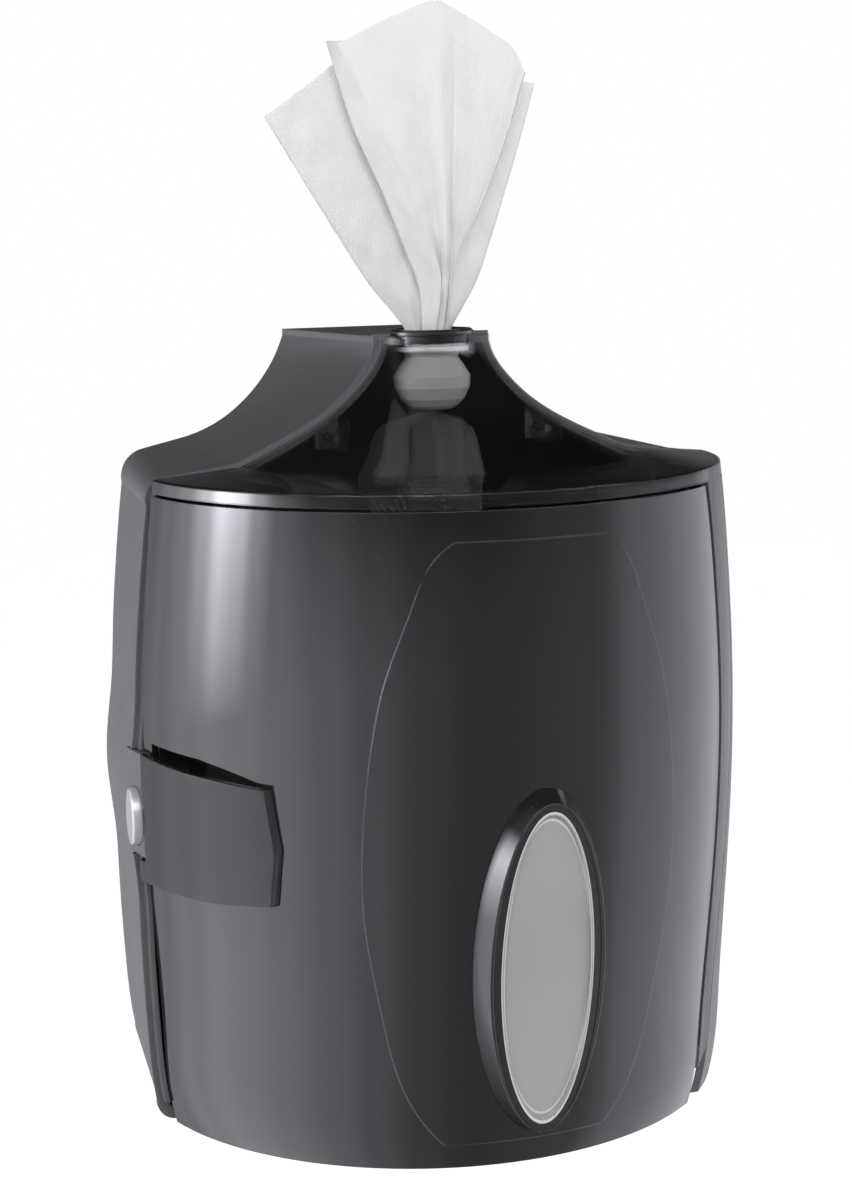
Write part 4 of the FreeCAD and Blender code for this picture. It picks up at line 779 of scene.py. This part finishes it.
class DISPENSER_OT_fan(Operator):
    """Make the pulled-out wipe that fans up from the nozzle"""
    bl_idname = "dispenser.fan"
    bl_label = "Pulled-out wipe"

    def execute(self, context):
        wipe = context.scene.dispenser_wipe
        mesh = grid_mesh("wipe_fan", fan_rows(wipe))
        piece = new_piece("wipe_fan", mesh, wipe_material(context))
        thicken(piece, wipe.cloth)
        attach(piece, "base")
        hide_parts("wipe_sheet")
        # The part of the wipe above the ring is longer in the middle than at its edges.
        return {"FINISHED"}


# Gathering of the web inside the roll's heart: pleats across a strip, the slope of their sides,
# and the heights in millimetres between which they open out.
PLEATS = 6
PLEAT_SLOPE = 7.0
PLEATS_FROM = 78.0
PLEATS_TO = 97.0


def web_strip(edges, rows, columns, seed, depth):
    """Rows of points of one length of web between its two edges, pleated in the roll's heart."""
    ripple = wave(seed, 6, 0.6, 2.6)
    made = []
    for j in range(rows + 1):
        v = j / rows
        left = smooth_run([e[0] for e in edges], v)
        right = smooth_run([e[1] for e in edges], v)
        row = []
        for i in range(columns + 1):
            t = i / columns
            p = left.lerp(right, t)
            width = (right - left).length
            fold = ripple(t, v * 2.2) * depth * min(1.0, width / 14.0)
            open_share = min(1.0, max(0.0, (PLEATS_TO - p.z) / (PLEATS_TO - PLEATS_FROM)))
            pleat = PLEAT_SLOPE * width / (math.tau * PLEATS) * math.sin(math.tau * PLEATS * t)
            row.append(p + Vector((0.1 * fold, pleat * open_share - fold, 0)))
        made.append(row)
    return made


def ruffled_turn(radius, low, high, seed, lean, columns=140, rows=26):
    """Rows of points of a loose inner turn that stands up out of the roll's heart."""
    ruffle = wave(seed, 6, 2.0, 2.0)
    chance = random.Random(seed)
    phases = [chance.uniform(0, math.tau) for _ in range(8)]
    made = []
    for j in range(rows + 1):
        v = j / rows
        row = []
        for i in range(columns):
            turn = math.tau * i / columns
            edge = sum(math.sin(n * turn + phases[n]) / n for n in range(2, 8))
            flare = sum(math.sin(n * turn + phases[n - 1]) / n for n in range(3, 8))
            reach = radius + v * v * (1.2 * flare - 1.0) + 0.3 * ruffle(i / columns, v)
            top = high + 4.2 * edge
            z = low + (top - low) * v
            row.append(Vector((AXIS_X + lean * v + reach * math.cos(turn), AXIS_Y + reach * math.sin(turn), z)))
        made.append(row)
    return made


class DISPENSER_OT_web(Operator):
    """Make the web that runs from the roll's heart up to the nozzle"""
    bl_idname = "dispenser.web"
    bl_label = "Feeding web"

    def execute(self, context):
        wipe = context.scene.dispenser_wipe
        meshes = [
            grid_mesh("web_left", web_strip(WEB_LEFT, 90, 60, wipe.seed + 5, 1.1)),
            grid_mesh("web_right", web_strip(WEB_RIGHT, 90, 60, wipe.seed + 6, 0.9)),
            grid_mesh("web_heart", ruffled_turn(18.2, 20.0, 102.0, wipe.seed + 9, 4.0), closed=True),
        ]
        mesh = join_meshes("wipe_web", meshes)
        piece = new_piece("wipe_web", mesh, shaded_web_material(context))
        thicken(piece, wipe.cloth)
        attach(piece, "base")
        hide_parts("wipe_strand")
        return {"FINISHED"}


def roll_tree():
    """Geometry nodes for a wound roll: one long spiral with height, uneven at its edges."""
    tree = bpy.data.node_groups.new("wound roll", "GeometryNodeTree")
    for label, kind, value in (
            ("Heart Radius", "NodeSocketFloat", 0.02), ("Outer Radius", "NodeSocketFloat", 0.095),
            ("Height", "NodeSocketFloat", 0.2), ("Middle", "NodeSocketFloat", 0.0),
            ("Turns", "NodeSocketFloat", 38.0), ("Layer", "NodeSocketFloat", 0.0016),
            ("Uneven", "NodeSocketFloat", 0.0012), ("Seed", "NodeSocketFloat", 3.0)):
        made = tree.interface.new_socket(name=label, in_out="INPUT", socket_type=kind)
        made.default_value = value
    tree.interface.new_socket(name="Material", in_out="INPUT", socket_type="NodeSocketMaterial")
    tree.interface.new_socket(name="Geometry", in_out="OUTPUT", socket_type="NodeSocketGeometry")
    inside = add(tree, "NodeGroupInput")
    outside = add(tree, "NodeGroupOutput")
    spiral = add(tree, "GeometryNodeCurveSpiral")
    spiral.inputs["Resolution"].default_value = 44
    spiral.inputs["Height"].default_value = 0.0
    tree.links.new(inside.outputs["Turns"], spiral.inputs["Rotations"])
    tree.links.new(inside.outputs["Heart Radius"], spiral.inputs["Start Radius"])
    tree.links.new(inside.outputs["Outer Radius"], spiral.inputs["End Radius"])
    wobble = add(tree, "ShaderNodeTexNoise", noise_dimensions="4D")
    wobble.inputs["Scale"].default_value = 60.0
    wobble.inputs["Detail"].default_value = 2.0
    tree.links.new(inside.outputs["Seed"], wobble.inputs["W"])
    centred = maths(tree, "SUBTRACT", wobble.outputs["Fac"], 0.5)
    lift = maths(tree, "ADD", inside.outputs["Middle"],
                 maths(tree, "MULTIPLY", centred, maths(tree, "MULTIPLY", inside.outputs["Uneven"], 2.0)))
    shift = add(tree, "ShaderNodeCombineXYZ")
    tree.links.new(lift, shift.inputs["Z"])
    shift.inputs["Y"].default_value = AXIS_Y * MM
    moved = add(tree, "GeometryNodeSetPosition")
    tree.links.new(spiral.outputs["Curve"], moved.inputs["Geometry"])
    tree.links.new(shift.outputs["Vector"], moved.inputs["Offset"])
    upright = add(tree, "GeometryNodeSetCurveNormal", mode="Z_UP")
    tree.links.new(moved.outputs["Geometry"], upright.inputs["Curve"])
    section = add(tree, "GeometryNodeCurvePrimitiveQuadrilateral")
    tree.links.new(inside.outputs["Layer"], section.inputs["Width"])
    tree.links.new(inside.outputs["Height"], section.inputs["Height"])
    swept = add(tree, "GeometryNodeCurveToMesh")
    swept.inputs["Fill Caps"].default_value = True
    tree.links.new(upright.outputs["Curve"], swept.inputs["Curve"])
    tree.links.new(section.outputs["Curve"], swept.inputs["Profile Curve"])
    whole = add(tree, "GeometryNodeRealizeInstances")
    tree.links.new(swept.outputs["Mesh"], whole.inputs["Geometry"])
    finish = add(tree, "GeometryNodeSetMaterial")
    tree.links.new(whole.outputs["Geometry"], finish.inputs["Geometry"])
    tree.links.new(inside.outputs["Material"], finish.inputs["Material"])
    tree.links.new(finish.outputs["Geometry"], outside.inputs["Geometry"])
    return tree


def set_inputs(modifier, values):
    """Set a modifier's inputs by their identifiers."""
    for entry in modifier.node_group.interface.items_tree:
        if entry.item_type == "SOCKET" and entry.in_out == "INPUT" and entry.name in values:
            modifier[entry.identifier] = values[entry.name]


class DISPENSER_OT_roll(Operator):
    """Make the wound roll of wipes inside the body"""
    bl_idname = "dispenser.roll"
    bl_label = "Roll of wipes"

    def execute(self, context):
        roll = context.scene.dispenser_roll
        low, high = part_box("wipe_roll")
        piece = bpy.data.objects.new("wound_roll", bpy.data.meshes.new("wound_roll"))
        context.scene.collection.objects.link(piece)
        made = piece.modifiers.new("winding", "NODES")
        made.node_group = roll_tree()
        pitch = (roll.outer - roll.core) / roll.turns
        uneven = 0.0010
        set_inputs(made, {
            "Heart Radius": roll.core, "Outer Radius": roll.outer - pitch, "Height": high.z - low.z - 2 * uneven,
            "Middle": (low.z + high.z) / 2, "Turns": float(roll.turns), "Layer": pitch * 0.86,
            "Uneven": uneven, "Seed": float(roll.seed), "Material": roll_material(context)})
        bake(piece)
        if len(piece.data.polygons) < 1000:
            raise RuntimeError("the roll came out empty")
        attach(piece, "base")
        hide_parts("wipe_roll")
        return {"FINISHED"}


def roll_material(context):
    """The wound web's edges and outer face."""
    name = "wound web"
    if name in bpy.data.materials:
        return bpy.data.materials[name]
    return plastic(name, tuple(context.scene.dispenser_finishes.wipe), lift=0.05, rough=(0.8, 0.95),
                   grain=0.8, scale=900.0, wear=0.2)


def soft_panel(name, place, target, size, power, glossy=True):
    """A rectangular studio light aimed at a point."""
    lamp = bpy.data.lights.new(name, "AREA")
    lamp.shape = "RECTANGLE"
    lamp.size, lamp.size_y = size
    lamp.energy = power
    panel = bpy.data.objects.new(name, lamp)
    bpy.context.scene.collection.objects.link(panel)
    ahead = (Vector(target) - Vector(place)).normalized()
    panel.matrix_world = Matrix.Translation(Vector(place)) @ ahead.to_track_quat("-Z", "Y").to_matrix().to_4x4()
    panel.visible_glossy = glossy
    panel.visible_camera = False
    return panel


# Brightness of the room in reflections, by direction round the object in degrees from straight
# ahead, clockwise from above: at and over eye height, and below it.
ROOM_HIGH = ((-180, 0.18), (-165, 0.30), (-150, 0.55), (-137, 1.4), (-124, 2.7), (-113, 8.0), (-104, 19.0),
             (-95, 14.0), (-87, 6.0), (-78, 2.1), (-62, 0.8), (-40, 0.25), (-18, 0.05), (0, 0.08), (43, 0.5),
             (67, 1.5), (95, 1.8), (115, 1.7), (124, 0.7), (138, 0.25), (151, 0.14), (162, 0.05), (172, 0.12), (180, 0.18))
ROOM_LOW = ((-180, 0.4), (-150, 0.8), (-137, 1.2), (-120, 2.3), (-104, 3.3), (-90, 3.3), (-76, 2.9),
            (-56, 2.1), (-40, 1.4), (-20, 0.75), (0, 0.5), (43, 0.7), (67, 1.7), (95, 1.9), (115, 1.9),
            (126, 0.7), (160, 0.5), (180, 0.4))
ROOM_PEAK = 19.0


def room_ramp(tree, turn, stops):
    """Brightness for a direction round the object."""
    ramp = add(tree, "ShaderNodeValToRGB")
    ramp.color_ramp.interpolation = "EASE"
    tree.links.new(turn, ramp.inputs["Fac"])
    entries = ramp.color_ramp.elements
    while len(entries) < len(stops):
        entries.new(0.5)
    for index, (angle, value) in enumerate(stops):
        entries[index].position = (angle + 180.0) / 360.0
        share = value / ROOM_PEAK
        entries[index].color = (share, share, share, 1.0)
    return maths(tree, "MULTIPLY", ramp.outputs["Color"], ROOM_PEAK)


def studio_world(level):
    """White background, even light, and soft panels and dark cards for reflections."""
    world = bpy.data.worlds.new("studio")
    bpy.context.scene.world = world
    world.use_nodes = True
    tree = world.node_tree
    tree.nodes.clear()
    out = add(tree, "ShaderNodeOutputWorld")
    shown = add(tree, "ShaderNodeBackground")
    path = add(tree, "ShaderNodeLightPath")
    where = add(tree, "ShaderNodeTexCoord")
    parts = add(tree, "ShaderNodeSeparateXYZ")
    tree.links.new(where.outputs["Generated"], parts.inputs[0])
    ahead = maths(tree, "MULTIPLY", parts.outputs["Y"], -1.0)
    turn = maths(tree, "ARCTAN2", parts.outputs["X"], ahead)
    turn = spread(tree, turn, -math.pi, math.pi, 0.0, 1.0)
    high = room_ramp(tree, turn, ROOM_HIGH)
    low = room_ramp(tree, turn, ROOM_LOW)
    share = spread(tree, parts.outputs["Z"], -0.20, 0.06, 0.0, 1.0)
    room = maths(tree, "ADD", maths(tree, "MULTIPLY", high, share),
                 maths(tree, "MULTIPLY", low, maths(tree, "SUBTRACT", 1.0, share)))
    above = spread(tree, parts.outputs["Z"], 0.09, 0.32, 1.0, 0.03)
    room = maths(tree, "MULTIPLY", room, above)
    band = maths(tree, "MULTIPLY", spread(tree, parts.outputs["Z"], 0.24, 0.28, 0.0, 1.0),
                 spread(tree, parts.outputs["Z"], 0.46, 0.50, 1.0, 0.0))
    facing = spread(tree, ahead, 0.15, 0.55, 0.0, 12.0)
    room = maths(tree, "ADD", room, maths(tree, "MULTIPLY", band, facing))
    cool = add(tree, "ShaderNodeVectorMath", operation="MULTIPLY")
    tree.links.new(room, cool.inputs[0])
    cool.inputs[1].default_value = (0.97, 0.98, 1.05)
    seen = maths(tree, "MAXIMUM", path.outputs["Is Camera Ray"], path.outputs["Is Transmission Ray"])
    shine = blend_colours(tree, path.outputs["Is Glossy Ray"], (level, level, level), cool.outputs["Vector"])
    final = blend_colours(tree, seen, shine, (1.0, 1.0, 1.0))
    tree.links.new(final, shown.inputs["Color"])
    tree.links.new(shown.outputs["Background"], out.inputs["Surface"])


def floor_material():
    """Pale floor that keeps shadows and runs out to white for the camera."""
    made = bpy.data.materials.new("pale floor")
    made.use_nodes = True
    tree = made.node_tree
    tree.nodes.clear()
    out = add(tree, "ShaderNodeOutputMaterial")
    base = add(tree, "ShaderNodeBsdfDiffuse")
    where = add(tree, "ShaderNodeTexCoord")
    speck = add(tree, "ShaderNodeTexNoise")
    speck.inputs["Scale"].default_value = 3.0
    tree.links.new(where.outputs["Object"], speck.inputs["Vector"])
    tree.links.new(blend_colours(tree, speck.outputs["Fac"], (0.84, 0.84, 0.84), (0.88, 0.88, 0.88)),
                   base.inputs["Color"])
    glow = add(tree, "ShaderNodeEmission")
    path = add(tree, "ShaderNodeLightPath")
    seen = maths(tree, "MAXIMUM", path.outputs["Is Camera Ray"], path.outputs["Is Transmission Ray"])
    tree.links.new(maths(tree, "MULTIPLY", seen, 0.55), glow.inputs["Strength"])
    both = add(tree, "ShaderNodeAddShader")
    tree.links.new(base.outputs["BSDF"], both.inputs[0])
    tree.links.new(glow.outputs["Emission"], both.inputs[1])
    clear = add(tree, "ShaderNodeBsdfTransparent")
    pick = add(tree, "ShaderNodeMixShader")
    tree.links.new(path.outputs["Is Glossy Ray"], pick.inputs["Fac"])
    tree.links.new(both.outputs["Shader"], pick.inputs[1])
    tree.links.new(clear.outputs["BSDF"], pick.inputs[2])
    tree.links.new(pick.outputs["Shader"], out.inputs["Surface"])
    return made


class DISPENSER_OT_stage(Operator):
    """Make the floor, lights, background and camera"""
    bl_idname = "dispenser.stage"
    bl_label = "Stage"

    def execute(self, context):
        stage = context.scene.dispenser_stage
        count = 96
        rings = (0.0, 0.25, 0.5, 1.0)
        verts = [Vector((0, 0, stage.floor_drop))]
        faces = []
        for ring in rings[1:]:
            for i in range(count):
                turn = math.tau * i / count
                reach = ring * stage.floor_size
                verts.append(Vector((reach * math.cos(turn), reach * math.sin(turn), stage.floor_drop)))
        for i in range(count):
            after = (i + 1) % count
            faces.append((0, 1 + i, 1 + after))
            for ring in range(len(rings) - 2):
                a = 1 + ring * count
                b = a + count
                faces.append((a + i, b + i, b + after, a + after))
        mesh = bpy.data.meshes.new("floor")
        mesh.from_pydata(verts, [], faces)
        floor = new_piece("floor", mesh, floor_material())

        middle = (0.0, -0.12, 0.02)
        soft_panel("left strip", (-1.30, -0.10, 0.30), middle, (0.34, 1.2), stage.left, glossy=False)
        soft_panel("right panel", (1.35, -0.22, 0.25), middle, (0.9, 1.2), stage.right, glossy=False)
        soft_panel("front panel", (-0.35, -1.70, 0.92), (0.0, -0.12, 0.12), (1.5, 0.42), stage.top, glossy=False)
        studio_world(stage.surround)

        view = bpy.data.cameras.new("view")
        view.sensor_width = 36.0
        view.sensor_fit = "HORIZONTAL"
        view.lens = EYE_LENS
        view.clip_start = 0.01
        view.clip_end = 50.0
        eye = bpy.data.objects.new("view", view)
        context.scene.collection.objects.link(eye)
        back = -EYE_AHEAD
        eye.matrix_world = Matrix((
            (EYE_RIGHT.x, EYE_UP.x, back.x, EYE.x),
            (EYE_RIGHT.y, EYE_UP.y, back.y, EYE.y),
            (EYE_RIGHT.z, EYE_UP.z, back.z, EYE.z),
            (0, 0, 0, 1)))
        context.scene.camera = eye
        context.scene.view_settings.view_transform = "Standard"
        return {"FINISHED"}


STEPS = ("shell", "smoke", "door", "window", "latch", "hardware", "fan", "web", "roll", "stage")


class DISPENSER_PT_panel(Panel):
    """Lists the dispenser's pieces and their settings"""
    bl_label = "Wipes Dispenser"
    bl_idname = "DISPENSER_PT_panel"
    bl_space_type = "VIEW_3D"
    bl_region_type = "UI"
    bl_category = "Dispenser"

    def draw(self, context):
        column = self.layout.column(align=True)
        for step in STEPS:
            column.operator(f"dispenser.{step}")
        for group in ("finishes", "wipe", "roll", "stage"):
            settings = getattr(context.scene, f"dispenser_{group}")
            box = self.layout.box()
            box.label(text=group.capitalize())
            for name in settings.__annotations__:
                box.prop(settings, name)


CLASSES = (
    DispenserFinishes, DispenserWipe, DispenserRoll, DispenserStage,
    DISPENSER_OT_shell, DISPENSER_OT_smoke, DISPENSER_OT_door, DISPENSER_OT_window, DISPENSER_OT_latch,
    DISPENSER_OT_hardware, DISPENSER_OT_fan, DISPENSER_OT_web, DISPENSER_OT_roll, DISPENSER_OT_stage,
    DISPENSER_PT_panel,
)
GROUPS = (("dispenser_finishes", DispenserFinishes), ("dispenser_wipe", DispenserWipe),
          ("dispenser_roll", DispenserRoll), ("dispenser_stage", DispenserStage))


def register():
    for entry in CLASSES:
        bpy.utils.register_class(entry)
    for name, kind in GROUPS:
        setattr(bpy.types.Scene, name, PointerProperty(type=kind))


def unregister():
    for name, _ in GROUPS:
        delattr(bpy.types.Scene, name)
    for entry in reversed(CLASSES):
        bpy.utils.unregister_class(entry)


def plain(box):
    """A box's corners as plain lists of numbers."""
    return [[float(c) for c in corner] for corner in box]


def main():
    register()
    for step in STEPS:
        getattr(bpy.ops.dispenser, step)()


if __name__ == "__main__":
    main()
